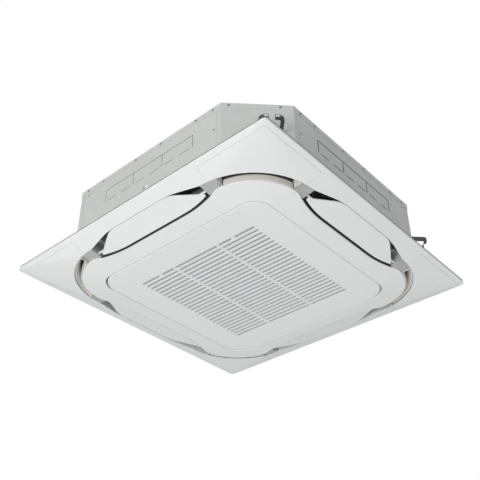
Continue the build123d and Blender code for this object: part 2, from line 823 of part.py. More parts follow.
openings = wall_openings()
with BuildPart() as casing_shell:
    with BuildSketch(Plane.XY.offset(casing_bottom)):
        add(octagon(sheet))
        add(octagon(2 * sheet), mode=Mode.SUBTRACT)
    extrude(amount=lid_height - casing_bottom)
    with BuildSketch(Plane.XY.offset(casing_bottom)):
        add(octagon(sheet))
        add(octagon(2 * sheet + flange_width), mode=Mode.SUBTRACT)
    extrude(amount=sheet)
    for plane in (Plane.YZ, Plane.XZ):
        with BuildSketch(plane):
            add(knockout_slits())
        extrude(amount=casing_half, both=True, mode=Mode.SUBTRACT)
    add(openings, mode=Mode.SUBTRACT)
    seam_place = casing_half - casing_chamfer - corner_fold
    middle, length = span(casing_bottom, lid_height)
    for angle in quarter_turns.values():
        with Locations(Location((0, 0, 0), (0, 0, angle))):
            with Locations((casing_half - flange_width, -seam_place, middle),
                           (casing_half - flange_width, seam_place, middle)):
                Box(3 * flange_width, seam, length, mode=Mode.SUBTRACT)
save(casing_shell.part, "casing_shell")

with BuildPart() as top_plate:
    with BuildSketch(Plane.XY.offset(lid_height)):
        add(octagon(0))
    extrude(amount=sheet)
    with BuildSketch(Plane.XY.offset(casing_top - skirt_height)):
        add(octagon(0))
        add(octagon(sheet), mode=Mode.SUBTRACT)
    extrude(amount=skirt_height)
    with BuildSketch(Plane.XY.offset(casing_top)):
        Circle(motor_well_radius + bead_width)
        Circle(motor_well_radius, mode=Mode.SUBTRACT)
        for angle in range(0, 360, 45):
            with Locations(Location((0, 0, 0), (0, 0, angle))):
                with Locations((bead_middle, 0)):
                    Rectangle(bead_length, bead_width)
    extrude(amount=bead_height)
save(top_plate.part, "top_plate")

with BuildPart() as casing_lining:
    with BuildSketch(Plane.XY.offset(pan_top)):
        add(octagon(2 * sheet))
        add(rounded_square(outlet_outer_half, outlet_outer_radius), mode=Mode.SUBTRACT)
    extrude(amount=lid_height - pan_top)
    with BuildSketch(Plane.XY.offset(lining_bottom)):
        add(octagon(2 * sheet))
        Circle(motor_well_radius, mode=Mode.SUBTRACT)
    extrude(amount=lining_top)
    add(openings, mode=Mode.SUBTRACT)
    with BuildSketch(Plane.XY.offset(lining_bottom - lining_joint)):
        add(octagon(0))
    extrude(amount=lining_joint, mode=Mode.SUBTRACT)
    joint_place = outlet_outer_half - outlet_outer_radius
    middle, length = span(pan_top, lining_bottom)
    for angle in quarter_turns.values():
        with Locations(Location((0, 0, 0), (0, 0, angle))):
            with Locations((casing_half, -joint_place, middle), (casing_half, joint_place, middle)):
                Box(6 * flange_width, lining_joint, length, mode=Mode.SUBTRACT)
save(casing_lining.part, "casing_lining")

# ---------------------------------------------------------------- casing screws
with BuildPart() as casing_screws:
    for angle, sign in mirrored_sides.items():
        with BuildSketch(wall_plane(angle, casing_half)):
            with Locations(*[(sign * place, skirt_screw_rise) for place in skirt_screws]):
                RegularPolygon(head_radius, 6)
        extrude(amount=head_height)
        with BuildSketch(wall_plane(angle, shell_half)):
            with Locations((0, side_screw_rise)):
                RegularPolygon(head_radius, 6)
        extrude(amount=head_height)
        with BuildSketch(wall_plane(angle + 45, chamfer_out)):
            with Locations((-chamfer_screw_place, skirt_screw_rise), (chamfer_screw_place, skirt_screw_rise)):
                RegularPolygon(head_radius, 6)
        extrude(amount=head_height)
save(casing_screws.part, "casing_screws")

# ---------------------------------------------------------------- drain pan
def outlet_ring():
    """Plan of the air outlets through the pan, broken by a bridge on each side of every flap."""
    with BuildSketch() as ring:
        add(rounded_square(outlet_outer_half, outlet_outer_radius))
        add(rounded_square(outlet_inner_half, outlet_inner_radius), mode=Mode.SUBTRACT)
        add(side_band(outlet_bridge_start, outlet_bridge_end), mode=Mode.SUBTRACT)
        with Locations((-panel_half, panel_half)):
            Rectangle(2 * (panel_half - outlet_bridge_end), 2 * (panel_half - outlet_bridge_end),
                      mode=Mode.SUBTRACT)
    return ring.sketch


def trough():
    """Water trough under the coil, with the pump's sump at the rear left corner."""
    reach = outlet_outer_half - trough_margin / 2
    with BuildSketch() as sump:
        add(rounded_square(reach, outlet_outer_radius - trough_margin / 2))
        with Locations((-panel_half, panel_half)):
            Rectangle(2 * (panel_half - outlet_bridge_end), 2 * (panel_half - outlet_bridge_end),
                      mode=Mode.INTERSECT)
        fillet(sump.vertices(), 8)
    with BuildSketch() as channel:
        add(rounded_square(coil_outer_half + trough_margin, coil_corner_radius + trough_margin))
        add(sump.sketch)
        inner = coil_outer_half - coil_thickness - trough_margin
        add(rounded_square(inner, coil_corner_radius - coil_thickness), mode=Mode.SUBTRACT)
    return channel.sketch


trough_floor = pan_top - trough_depth
coil_bottom = trough_floor + coil_lift
coil_middle = coil_outer_half - coil_thickness / 2
with BuildPart() as drain_pan:
    with BuildSketch(Plane.XY.offset(casing_bottom)):
        add(octagon(2 * sheet + flange_width + clearance))
    extrude(amount=sheet)
    with BuildSketch(Plane.XY.offset(pan_seat)):
        add(octagon(2 * sheet))
    extrude(amount=pan_top - pan_seat)
    with BuildSketch(Plane.XY.offset(casing_bottom)):
        add(rounded_square(pan_centre_half, pan_centre_radius))
        add(outlet_ring())
    extrude(amount=pan_height, mode=Mode.SUBTRACT)
    with BuildSketch(Plane.XY.offset(trough_floor)):
        add(trough())
    extrude(amount=trough_depth, mode=Mode.SUBTRACT)
    for angle in quarter_turns.values():
        with Locations(Location((0, 0, 0), (0, 0, angle))):
            with Locations((coil_middle, -150, trough_floor + coil_lift / 2),
                           (coil_middle, 150, trough_floor + coil_lift / 2)):
                Box(coil_thickness, 20, coil_lift)
    with BuildSketch(Plane.XY.offset(casing_bottom)):
        with GridLocations(2 * panel_screw_out, 2 * panel_screw_place, 2, 2):
            Circle(panel_screw_radius + shaft_fit)
    extrude(amount=panel_screw_length, mode=Mode.SUBTRACT)
save(drain_pan.part, "drain_pan")

with BuildPart() as outlet_seals:
    with BuildSketch(Plane.XY.offset(deck_top)):
        add(rounded_square(outlet_outer_half + seal_width, outlet_outer_radius + seal_width))
        add(rounded_square(outlet_outer_half, outlet_outer_radius), mode=Mode.SUBTRACT)
        add(rounded_square(outlet_inner_half, outlet_inner_radius))
        add(rounded_square(outlet_inner_half - seal_width, outlet_inner_radius - seal_width), mode=Mode.SUBTRACT)
    extrude(amount=seal_height)
save(outlet_seals.part, "outlet_seals")

with BuildPart() as panel_screws:
    with BuildSketch(Plane.XY.offset(seat_height)):
        with GridLocations(2 * panel_screw_out, 2 * panel_screw_place, 2, 2):
            Circle(panel_screw_radius)
    extrude(amount=casing_bottom - seat_height + panel_screw_length - 1)
    with BuildSketch(Plane.XY.offset(seat_height)):
        with GridLocations(2 * panel_screw_out, 2 * panel_screw_place, 2, 2):
            RegularPolygon(2 * panel_screw_radius, 6)
    extrude(amount=-2 * head_height)
save(panel_screws.part, "panel_screws")

# ---------------------------------------------------------------- heat exchanger
coil_top = lining_bottom - clearance
coil_straight = coil_outer_half - coil_corner_radius
with BuildPart() as heat_exchanger:
    with BuildSketch(Plane.XY.offset(coil_bottom)):
        add(rounded_square(coil_outer_half, coil_corner_radius))
        add(rounded_square(coil_outer_half - coil_thickness, coil_corner_radius - coil_thickness),
            mode=Mode.SUBTRACT)
        with Locations((coil_straight + panel_half / 2, coil_straight + panel_half / 2)):
            Rectangle(panel_half, panel_half, mode=Mode.SUBTRACT)
        steps = int(2 * (coil_straight - fin_pitch / 2) / fin_pitch)
        for angle in quarter_turns.values():
            with Locations(Location((0, 0, 0), (0, 0, angle))):
                with Locations(*[(coil_outer_half - fin_groove_depth / 2, (step - steps / 2) * fin_pitch)
                                 for step in range(steps + 1)]):
                    Rectangle(fin_groove_depth, fin_groove, mode=Mode.SUBTRACT)
    extrude(amount=coil_top - coil_bottom)
    with BuildSketch(Plane.XY.offset(coil_bottom)):
        with Locations((coil_middle, coil_straight + end_plate / 2)):
            Rectangle(coil_thickness + 4, end_plate)
        with Locations((coil_straight + end_plate / 2, coil_middle)):
            Rectangle(end_plate, coil_thickness + 4)
    extrude(amount=coil_top - coil_bottom)
save(heat_exchanger.part, "heat_exchanger")

coil_end = coil_straight + end_plate
tube_column = coil_outer_half - coil_thickness + 3 * tube_radius
with BuildPart() as coil_bends:
    for plane in (Plane.YZ.offset(tube_column - tube_radius), Plane.XZ.offset(-tube_column - tube_radius)):
        with BuildSketch(plane):
            with Locations(*[(coil_end, bend_bottom + step * bend_pitch) for step in range(bend_count)]):
                Circle(bend_radius + tube_radius)
                Circle(bend_radius - tube_radius, mode=Mode.SUBTRACT)
                with Locations((-bend_radius, 0)):
                    Rectangle(2 * bend_radius, 3 * bend_radius, mode=Mode.SUBTRACT)
        extrude(amount=2 * tube_radius)
save(coil_bends.part, "coil_bends")

# ---------------------------------------------------------------- bell mouth
bell_bottom = casing_bottom - bell_wall
arc_height = bell_bottom + bell_curve
outer = bell_radius + bell_curve
high = arc_height + bell_lip
bell_turns = [radians(90 * step / 4) for step in range(5)]
with BuildPart() as bell_mouth:
    with BuildSketch(Plane.XZ):
        near_side = [(outer - bell_curve * sin(turn), bell_bottom + bell_curve * (1 - cos(turn)))
                     for turn in bell_turns]
        far_side = [(outer - (bell_curve - bell_wall) * sin(turn), arc_height - (bell_curve - bell_wall) * cos(turn))
                    for turn in reversed(bell_turns)]
        Polygon(*near_side, (bell_radius, high), (bell_radius + bell_wall, high), *far_side, align=None)
    revolve(axis=Axis.Z)
    with BuildSketch(Plane.XY.offset(bell_bottom)):
        add(rounded_square(bell_flange_half, bell_flange_radius))
        Circle(outer, mode=Mode.SUBTRACT)
    extrude(amount=bell_wall)
save(bell_mouth.part, "bell_mouth")

# ---------------------------------------------------------------- turbo fan
deck_low = fan_top - fan_wall
shroud_inside = [(0, 0), (1.6, 12), (8, 22), (18, 29), (fan_radius - eye_radius, 32)]
shroud_outside = [(fan_radius - eye_radius, 29.5), (19, 26.5), (10, 20), (4, 11), (2.5, 0)]


def blade_plan():
    """One backward-swept blade seen from below, thickest a third of the way out."""
    turn = radians(blade_sweep)
    tail = (fan_radius * cos(turn), -fan_radius * sin(turn))
    middle_radius = (blade_inner_radius + fan_radius) / 2
    lean = radians(blade_sweep * 0.36)
    half = blade_thickness / 2
    front = ((middle_radius + half) * cos(lean), -(middle_radius + half) * sin(lean) + half)
    back = ((middle_radius - half) * cos(lean), -(middle_radius - half) * sin(lean) - half)
    with BuildSketch() as plan:
        with BuildLine():
            ThreePointArc((blade_inner_radius, 0), front, tail)
            ThreePointArc(tail, back, (blade_inner_radius, 0))
        make_face()
    return plan.sketch


with BuildPart() as fan_blades:
    with BuildSketch(Plane.XY.offset(fan_bottom)):
        with PolarLocations(0, blade_count):
            add(blade_plan())
    extrude(amount=deck_low - fan_bottom)
    with BuildSketch(Plane.XZ):
        Polygon(*[(eye_radius + out, fan_bottom + rise) for out, rise in shroud_inside[1:]],
                (fan_radius, fan_top), (blade_inner_radius - 4, fan_top),
                (blade_inner_radius - 4, fan_bottom + 78), (eye_radius - 44, fan_bottom + 44), align=None)
    revolve(axis=Axis.Z, mode=Mode.INTERSECT)

with BuildPart() as fan_shroud:
    with BuildSketch(Plane.XZ):
        Polygon(*[(eye_radius + out, fan_bottom + rise) for out, rise in shroud_inside + shroud_outside],
                align=None)
    revolve(axis=Axis.Z)

with BuildPart() as fan_hub:
    with BuildSketch(Plane.XZ):
        lean = (hub_radius - hub_floor_radius) / (deck_low - hub_floor)
        slant = fan_wall * sqrt(1 + lean**2)
        Polygon(
            (shaft_radius + shaft_fit, boss_bottom), (boss_radius, boss_bottom), (boss_radius, hub_floor),
            (hub_floor_radius, hub_floor), (hub_radius, deck_low), (fan_radius, deck_low),
            (fan_radius, fan_top), (hub_radius + lean * fan_wall - slant, fan_top),
            (hub_floor_radius + lean * fan_wall - slant, hub_floor + fan_wall),
            (boss_radius, hub_floor + fan_wall), (boss_radius, boss_top),
            (shaft_radius + shaft_fit, boss_top), align=None,
        )
    revolve(axis=Axis.Z)
turbo_fan = Compound(children=[fan_hub.part, fan_shroud.part, *fan_blades.part.solids()])
save(turbo_fan, "turbo_fan")

with BuildPart() as motor_shaft:
    with BuildSketch(Plane.XY.offset(shaft_bottom)):
        Circle(shaft_radius)
    extrude(amount=shaft_top - shaft_bottom)
save(motor_shaft.part, "motor_shaft")

with BuildPart() as fan_nut:
    with BuildSketch(Plane.XY.offset(boss_bottom)):
        RegularPolygon(nut_radius, 6)
        Circle(shaft_radius + shaft_fit, mode=Mode.SUBTRACT)
    extrude(amount=-nut_height)
save(fan_nut.part, "fan_nut")

with BuildPart() as fan_motor:
    with BuildSketch(Plane.XY.offset(motor_bottom)):
        Circle(motor_radius)
    extrude(amount=motor_top - motor_bottom)
    chamfer(fan_motor.edges().group_by(Axis.Z)[0], 6)
    with BuildSketch(Plane.XY.offset(motor_top - ear_thickness)):
        with PolarLocations(isolator_place, 4, start_angle=45):
            Circle(ear_radius)
            with Locations((-ear_radius, 0)):
                Rectangle(2 * ear_radius, 2 * ear_radius - 6)
    extrude(amount=ear_thickness)
    with BuildSketch(Plane.XY.offset(motor_bottom)):
        Circle(shaft_radius + bearing_fit)
    extrude(amount=shaft_top - motor_bottom + 2, mode=Mode.SUBTRACT)
save(fan_motor.part, "fan_motor")

with BuildPart() as motor_isolators:
    with BuildSketch(Plane.XY.offset(motor_top)):
        with PolarLocations(isolator_place, 4, start_angle=45):
            Circle(isolator_radius)
    extrude(amount=lid_height - motor_top)
save(motor_isolators.part, "motor_isolators")

# ---------------------------------------------------------------- hangers
corner_place = chamfer_out / root_two
bolt_out = (bolt_pitch_x + bolt_pitch_y) / 2 / root_two - shell_chamfer_out
bolt_along = (bolt_pitch_y - bolt_pitch_x) / 2 / root_two
with BuildPart() as hanger:
    reach = bolt_out + hanger_tip
    prong = (hanger_width - hanger_mouth) / 2
    across = Location((shell_chamfer_out / root_two, shell_chamfer_out / root_two, hanger_height), (0, 0, 45))
    with BuildSketch(Plane(across)) as hook:
        with Locations((reach / 2, bolt_along)):
            Rectangle(reach, hanger_width)
        fillet(hook.vertices().filter_by(lambda v: v.X > reach - 1), hanger_corner)
        with Locations((bolt_out, bolt_along)):
            Circle(hanger_hole_radius, mode=Mode.SUBTRACT)
        with Locations((reach, bolt_along)):
            Rectangle(2 * hanger_tip, hanger_mouth, mode=Mode.SUBTRACT)
    extrude(amount=hanger_sheet)
    with BuildSketch(Plane(across)):
        with Locations((hanger_sheet / 2, bolt_along)):
            Rectangle(hanger_sheet, hanger_width)
    extrude(amount=hanger_plate_height)
    with BuildSketch(Plane(across)):
        with Locations(*[(reach - hanger_sheet / 2, bolt_along + side * (hanger_mouth + prong - hanger_corner) / 2)
                         for side in (-1, 1)]):
            Rectangle(hanger_sheet, prong - hanger_corner)
    extrude(amount=hanger_sheet + hanger_tab)
save(hanger.part, "hanger_rear_right")
save(hanger.part.mirror(Plane.YZ), "hanger_rear_left")
save(hanger.part.rotate(Axis.Z, 180), "hanger_front_left")
save(hanger.part.mirror(Plane.XZ), "hanger_front_right")

# ---------------------------------------------------------------- refrigerant pipes
header_out = shell_chamfer_out - header_depth
header_x = (header_out - pipe_offset) / root_two
header_y = (header_out + pipe_offset) / root_two


def pipe_run(height, radius, header_middle):
    """A straight pipe through the chamfer into a standing header with feeders to the coil's end."""
    with BuildPart() as run:
        with BuildSketch(wall_plane(45, header_out)):
            with Locations((pipe_offset, height)):
                Circle(radius)
        extrude(amount=header_depth + pipe_reach)
        with Locations((header_x, header_y, header_middle)):
            Cylinder(header_radius, header_height)
        feeder = header_y - coil_end
        with Locations(*[(header_x - header_radius + tube_radius / 2, coil_end + feeder / 2,
                          header_middle + step * feeder_pitch) for step in (-1, 0, 1)]):
            Cylinder(tube_radius, feeder, rotation=(90, 0, 0))
        with BuildSketch(wall_plane(45, shell_chamfer_out)):
            with Locations((pipe_offset, height)):
                Circle(radius - pipe_wall)
        extrude(amount=pipe_reach, mode=Mode.SUBTRACT)
    return run.part


save(pipe_run(gas_pipe_height, gas_pipe_radius, gas_pipe_height), "gas_pipe")
save(pipe_run(liquid_pipe_height, liquid_pipe_radius, liquid_header_middle), "liquid_pipe")

with BuildPart() as flare_nuts:
    for height, radius, nut in ((gas_pipe_height, gas_pipe_radius, gas_nut_radius),
                                (liquid_pipe_height, liquid_pipe_radius, liquid_nut_radius)):
        with BuildSketch(wall_plane(45, shell_chamfer_out + pipe_reach)):
            with Locations((pipe_offset, height)):
                RegularPolygon(nut, 6)
                Circle(radius + shaft_fit, mode=Mode.SUBTRACT)
        extrude(amount=-flare_nut_length)
save(flare_nuts.part, "flare_nuts")

with BuildPart() as pipe_cover:
    with BuildSketch(wall_plane(45, shell_chamfer_out)):
        with Locations((pipe_offset, (gas_pipe_height + liquid_pipe_height) / 2)):
            RectangleRounded(cover_plate_width, cover_plate_height, 4)
        with Locations((pipe_offset, gas_pipe_height)):
            Circle(gas_pipe_radius + clearance, mode=Mode.SUBTRACT)
        with Locations((pipe_offset, liquid_pipe_height)):
            Circle(liquid_pipe_radius + clearance, mode=Mode.SUBTRACT)
    extrude(amount=sheet)
save(pipe_cover.part, "pipe_cover")

# ---------------------------------------------------------------- drain
socket_start = shell_half - drain_socket_depth
with BuildPart() as drain_socket:
    with BuildSketch(wall_plane(90, shell_half)):
        with Locations((-drain_pipe_place, drain_pipe_height)):
            Circle(drain_flange_radius)
    extrude(amount=2 * sheet)
    with BuildSketch(wall_plane(90, socket_start)):
        with Locations((-drain_pipe_place, drain_pipe_height)):
            Circle(drain_pipe_radius)
    extrude(amount=casing_half + drain_pipe_reach - socket_start)
    with BuildSketch(wall_plane(90, socket_start)):
        with Locations((-drain_pipe_place, drain_pipe_height)):
            Circle(drain_pipe_radius - drain_pipe_wall)
    extrude(amount=casing_half + drain_pipe_reach - socket_start, mode=Mode.SUBTRACT)
save(drain_socket.part, "drain_socket")

pump_top = pump_bottom + pump_height
with BuildPart() as drain_pump:
    for bottom, radius, height in (
        (trough_floor, 2 * spigot_radius, 2), (trough_floor, spigot_radius, pump_bottom - trough_floor),
        (pump_bottom, pump_radius, pump_height), (pump_top, spigot_radius, spigot_length),
    ):
        with BuildSketch(Plane.XY.offset(bottom)):
            with Locations(pump_place):
                Circle(radius)
        extrude(amount=height)
    with BuildSketch(Plane.XY.offset(pump_bottom + pump_height / 2)):
        with Locations(pump_place):
            RegularPolygon(pump_radius + 3, 8)
    extrude(amount=4)
save(drain_pump.part, "drain_pump")

hose_out = casing_half - 64
with BuildPart() as drain_hose:
    with BuildLine() as hose_line:
        FilletPolyline(
            (*pump_place, pump_top + clearance), (*pump_place, drain_pipe_height),
            (-262, hose_out, drain_pipe_height), (drain_pipe_place, hose_out, drain_pipe_height),
            (drain_pipe_place, socket_start, drain_pipe_height), radius=hose_bend,
        )
    with BuildSketch(Plane.XY.offset(pump_top + clearance)):
        with Locations(pump_place):
            RegularPolygon(spigot_radius + hose_wall, 8)
    sweep(path=hose_line.line)
    with BuildSketch(Plane.XY.offset(pump_top + clearance)):
        with Locations(pump_place):
            Circle(spigot_radius + shaft_fit)
    extrude(amount=spigot_length, mode=Mode.SUBTRACT)
save(drain_hose.part, "drain_hose")

stem_top = float_rest + float_height + float_travel + clearance
with BuildPart() as float_switch:
    for bottom, radius, height in (
        (trough_floor, 2 * stem_radius + 4, 3), (trough_floor, stem_radius, stem_top - trough_floor + 4),
        (float_rest - clearance - 3, stem_radius + 2, 3), (stem_top, stem_radius + 5, 8),
    ):
        with BuildSketch(Plane.XY.offset(bottom)):
            with Locations(float_place):
                Circle(radius)
        extrude(amount=height)
save(float_switch.part, "float_switch")

with BuildPart() as float_ring:
    with BuildSketch(Plane.XY.offset(float_rest)):
        with Locations(float_place):
            Circle(float_radius)
            Circle(stem_radius + bearing_fit, mode=Mode.SUBTRACT)
    extrude(amount=float_height)
save(float_ring.part, "float_ring")

# ---------------------------------------------------------------- cable inlet
with BuildPart() as cable_gland:
    for out, shape_radius, length in (
        (casing_half - 26, gland_radius, 44), (shell_half, gland_nut_radius, 6), (shell_half + 10, gland_nut_radius - 1, 9),
    ):
        with BuildSketch(wall_plane(0, out)):
            with Locations((gland_place, gland_height)):
                if shape_radius == gland_radius:
                    Circle(shape_radius)
                else:
                    RegularPolygon(shape_radius, 6)
        extrude(amount=length)
    with BuildSketch(wall_plane(0, casing_half - 26)):
        with Locations((gland_place, gland_height)):
            Circle(cable_hole_radius)
    extrude(amount=44, mode=Mode.SUBTRACT)
save(cable_gland.part, "cable_gland")

# ---------------------------------------------------------------- control box
box_top = bell_bottom
box_middle = -box_outer + box_depth / 2
with BuildPart() as control_box:
    with BuildSketch(Plane.XY.offset(box_bottom)):
        with Locations((0, box_middle)):
            Rectangle(box_width, box_depth)
            Rectangle(box_width - 2 * sheet, box_depth - 2 * sheet, mode=Mode.SUBTRACT)
    extrude(amount=box_top - box_bottom)
    with BuildSketch(Plane.XY.offset(box_top - sheet)):
        with Locations((0, box_middle)):
            Rectangle(box_width, box_depth)
    extrude(amount=sheet)
save(control_box.part, "control_box")

with BuildPart() as control_box_cover:
    with BuildSketch(Plane.XY.offset(box_bottom - sheet)):
        with Locations((0, box_middle)):
            Rectangle(box_width + 2 * sheet, box_depth)
    extrude(amount=sheet)
    for side in (-1, 1):
        with BuildSketch(Plane.XY.offset(box_bottom - sheet)):
            with Locations((side * (box_width + sheet) / 2, box_middle)):
                Rectangle(sheet, box_depth)
        extrude(amount=10)
save(control_box_cover.part, "control_box_cover")

board_top = box_top - sheet - board_stand
with BuildPart() as circuit_board:
    with BuildSketch(Plane.XY.offset(board_top - board_thickness)):
        with Locations((board_middle, box_middle)):
            Rectangle(board_length, box_depth - 2 * board_margin)
    extrude(amount=board_thickness)
    for place, width, depth, height in (
        (-130, 18, 14, 16), (-104, 16, 24, 12), (-78, 10, 10, 18), (-62, 10, 10, 18), (-36, 30, 26, 8),
        (0, 14, 18, 14), (22, 14, 18, 14), (50, 22, 10, 6),
    ):
        with BuildSketch(Plane.XY.offset(board_top - board_thickness)):
            with Locations((place, box_middle)):
                Rectangle(width, depth)
        extrude(amount=-height)
    with BuildSketch(Plane.XY.offset(board_top)):
        with Locations(*[(board_middle + side * (board_length / 2 - board_post_inset), box_middle) for side in (-1, 1)]):
            Rectangle(board_post_width, board_post_depth)
    extrude(amount=board_stand)
save(circuit_board.part, "circuit_board")

with BuildPart() as terminal_block:
    with BuildSketch(Plane.XY.offset(box_top - sheet)):
        with Locations((terminal_middle, box_middle)):
            Rectangle(terminal_length, terminal_depth)
    extrude(amount=-terminal_height)
    with BuildSketch(Plane.XY.offset(box_top - sheet - terminal_height)):
        with Locations((terminal_middle, box_middle)):
            with GridLocations(terminal_pitch, 0, terminal_count, 1):
                Rectangle(terminal_rib_width, terminal_depth)
    extrude(amount=-terminal_rib_height)
save(terminal_block.part, "terminal_block")
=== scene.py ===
import json
import math

import bmesh
import bpy
from mathutils import Matrix, Vector


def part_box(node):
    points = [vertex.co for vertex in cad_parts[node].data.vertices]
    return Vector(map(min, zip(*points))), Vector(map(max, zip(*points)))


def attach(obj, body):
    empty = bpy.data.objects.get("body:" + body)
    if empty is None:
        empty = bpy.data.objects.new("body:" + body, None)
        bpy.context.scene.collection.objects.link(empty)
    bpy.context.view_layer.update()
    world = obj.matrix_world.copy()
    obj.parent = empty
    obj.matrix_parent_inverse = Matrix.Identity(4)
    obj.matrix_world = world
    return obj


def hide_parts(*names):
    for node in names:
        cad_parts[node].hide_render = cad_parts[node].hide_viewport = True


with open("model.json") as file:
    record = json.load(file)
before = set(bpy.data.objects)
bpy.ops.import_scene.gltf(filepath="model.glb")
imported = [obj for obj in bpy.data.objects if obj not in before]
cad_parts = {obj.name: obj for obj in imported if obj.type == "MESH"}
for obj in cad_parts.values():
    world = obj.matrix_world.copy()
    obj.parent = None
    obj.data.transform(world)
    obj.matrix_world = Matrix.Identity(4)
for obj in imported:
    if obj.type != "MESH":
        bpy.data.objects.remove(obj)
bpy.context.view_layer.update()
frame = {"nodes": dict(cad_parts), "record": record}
nodes = frame["nodes"]
scene = bpy.context.scene

# ---------------------------------------------------------------- sizes in metres
# The frame's +Z runs up into the ceiling. The casing's sides lie at SIDES, in degrees round it, and
# its cut corners halfway between them. What each corner of the panel holds is drawn in the corner
# at 45 degrees and turned by SIDES; NEAR_TURN brings it to the corner next to the camera.
SIDES = (0, 90, 180, 270)
FRONT = 270
SIDE_SIGNS = {0: 1, 90: -1, 180: -1, 270: 1}
CORNERS = {"rear_right": 45, "rear_left": 135, "front_left": 225, "front_right": 315}
CORNER_SIGNS = {45: 1, 135: -1, 225: 1, 315: -1}
NEAR_TURN = 180
CASING_HALF, SHELL_HALF = 0.420, 0.4188
CORNER_CUT = 0.136
CHAMFER_OUT = (2 * CASING_HALF - CORNER_CUT) / math.sqrt(2)
FACE = -0.0415

# Screw heads on the casing: places along a side or a cut corner, and heights
HEAD_RADIUS, HEAD_RISE = 0.0039, 0.0019
SMALL_RADIUS, SMALL_RISE = 0.0030, 0.0014
SKIRT_HEIGHT, MIDDLE_HEIGHT = 0.2075, 0.082
SKIRT_SCREWS = (-0.2555, -0.193, -0.058, 0.045, 0.185, 0.252)
SMALL_SCREWS = ((-0.259, 0.134), (0.250, 0.188))
CORNER_SCREWS = (-0.076, 0.061)

# Hangers: a plate on the cut corner and a fork round the suspension bolt
HOOK_HEIGHT, HOOK_SHEET, MOUTH_HALF = 0.110, 0.0025, 0.008
HOOK_TOP = HOOK_HEIGHT + HOOK_SHEET
HOOK_WALL = CHAMFER_OUT - 0.0012
BOLT_X, BOLT_Y = 0.710, 0.780
BOLT_OUT = (BOLT_X + BOLT_Y) / 2 / math.sqrt(2) - HOOK_WALL
BOLT_ALONG = (BOLT_Y - BOLT_X) / 2 / math.sqrt(2)
FRONT_TIP, FRONT_HALF, FRONT_SHIFT = 0.031, 0.033, 0.005
REAR_TIP, REAR_HALF = 0.019, 0.029
FORK_BACK = 0.012
PRONG, TIP_BAND = 0.010, 0.008
SHOULDER, TIP_ROUND, INNER_ROUND = 0.013, 0.0025, 0.006
FLANGE, FLANGE_TOP, FLANGE_START = 0.0022, 0.1195, 0.004
LIP_TOP, LIP_LAP, LIP_ROUND, LIP_BACK = 0.1230, 0.002, 0.003, 0.0005
# Pale faces on the hooks' lips: a painted highlight, standing in for the bright floor reflected in the tips
HIGHLIGHT_EDGE, HIGHLIGHT_LIFT, HIGHLIGHT_ROUND, HIGHLIGHT_START, HIGHLIGHT_END = 0.0016, 0.001, 0.002, 0.0008, 0.0001
PLATE_HALF, PLATE_TOP, PLATE_ROUND, PLATE_START = 0.029, 0.150, 0.009, 0.0001
PLATE_SCREW_ALONG, PLATE_SCREW_HEIGHT = 0.018, 0.136
PLATE_HEAD_RADIUS, PLATE_HEAD_RISE = 0.0055, 0.0030

# Bright clip beside the middle screw of each side
CLIP_START, CLIP_END, CLIP_BOTTOM, CLIP_TOP, CLIP_ROUND = 0.0045, 0.0165, 0.0755, 0.0855, 0.002
CLIP_SINK, CLIP_RISE = 0.0002, 0.0009

# Slots of the grille and the grey sheets set back in them, which paint the shade in the slots' depth
SLOT_COUNT, SLOT_PITCH = 26, 0.0168
SLOT_RUNS = ((-0.215, -0.0875), (-0.0805, 0.0805), (0.0875, 0.215))
FIRST_RUNS = ((-0.215, -0.146), (-0.134, -0.0875), (-0.0805, 0.0805), (0.0875, 0.134), (0.146, 0.215))
SLOT_SHADE_HALF, SLOT_SHADE_BACK, SLOT_SHADE_THICKNESS = 0.0051, 0.0026, 0.0005
NET_PITCH, STRAND_HALF, STRAND_SHIFT = 0.0024, 0.00016, 0.0001

# The ring's side wall: a bulge along each flap and a round corner between two flaps
FLAP_WALL, FLAP_STRAIGHT, FLAP_BEND, FLAP_HALF, FLAP_GAP = 0.359, 0.105, 0.350, 0.212, 0.0003
RING_MIDDLE, RING_RADIUS, RING_GAP, RING_SPREAD = 0.232, 0.152, 0.0037, 40.5
# Dark felt on the ring's side wall: partly black insulating foam, partly painted shade for the dark inside
# of the outlets. At the corner next to the camera it reaches lower, to paint the wider shade there.
SHADE_FELT_THICKNESS, SHADE_FELT_TOP, FLAP_SHADE_FELT_LOW = 0.0008, 0.005, -0.0325
CORNER_SHADE_FELT_LOW, NEAR_SHADE_FELT_LOW = -0.0085, -0.014
BEAD_RADIUS, BEAD_REACH, BEAD_LOW, BEAD_HIGH, BEAD_LEANS = 0.0011, 0.1570, -0.0315, 0.006, (10.5, 79.5)

# The frame's side of each corner outlet: profiles as (radius, height) round the frame's corner
OUTLET_MIDDLE, OUTLET_SPREAD = 0.212, 37.5
# The lining is partly the outlet's pale wall and partly painted light: its cream is paler than the panel's
# white, standing in for light bouncing into the outlets.
LINING = ((0.2016, -0.0218), (0.1885, 0.0022), (0.1891, 0.0024), (0.2022, -0.0216))
LINING_SEAM = ((0.2024, -0.0234), (0.2022, -0.0220), (0.2027, -0.0220), (0.2029, -0.0234))

# Foam crescent of each corner, between an inner and an outer arc
CRESCENT_INNER, CRESCENT_OUTER = (0.192, 0.2185), (OUTLET_MIDDLE, 0.2025)
CRESCENT_LOW, CRESCENT_HIGH, CRESCENT_SPREAD = 0.0062, 0.0088, 38

# Gasket in the seam round the grille, and the foam seal on the panel's rim
SEAM_OUT, SEAM_RADIUS, SEAM_REAR, GASKET_HALF = 0.305, 0.0570, 0.235, 0.0007
GASKET_LOW, GASKET_HIGH = FACE + 0.0024, FACE + 0.0042
SEAL_HALF, SEAL_RADIUS, SEAL_THICKNESS, SEAL_LOW, SEAL_HIGH = 0.4745, 0.0115, 0.0022, 0.0001, 0.0036

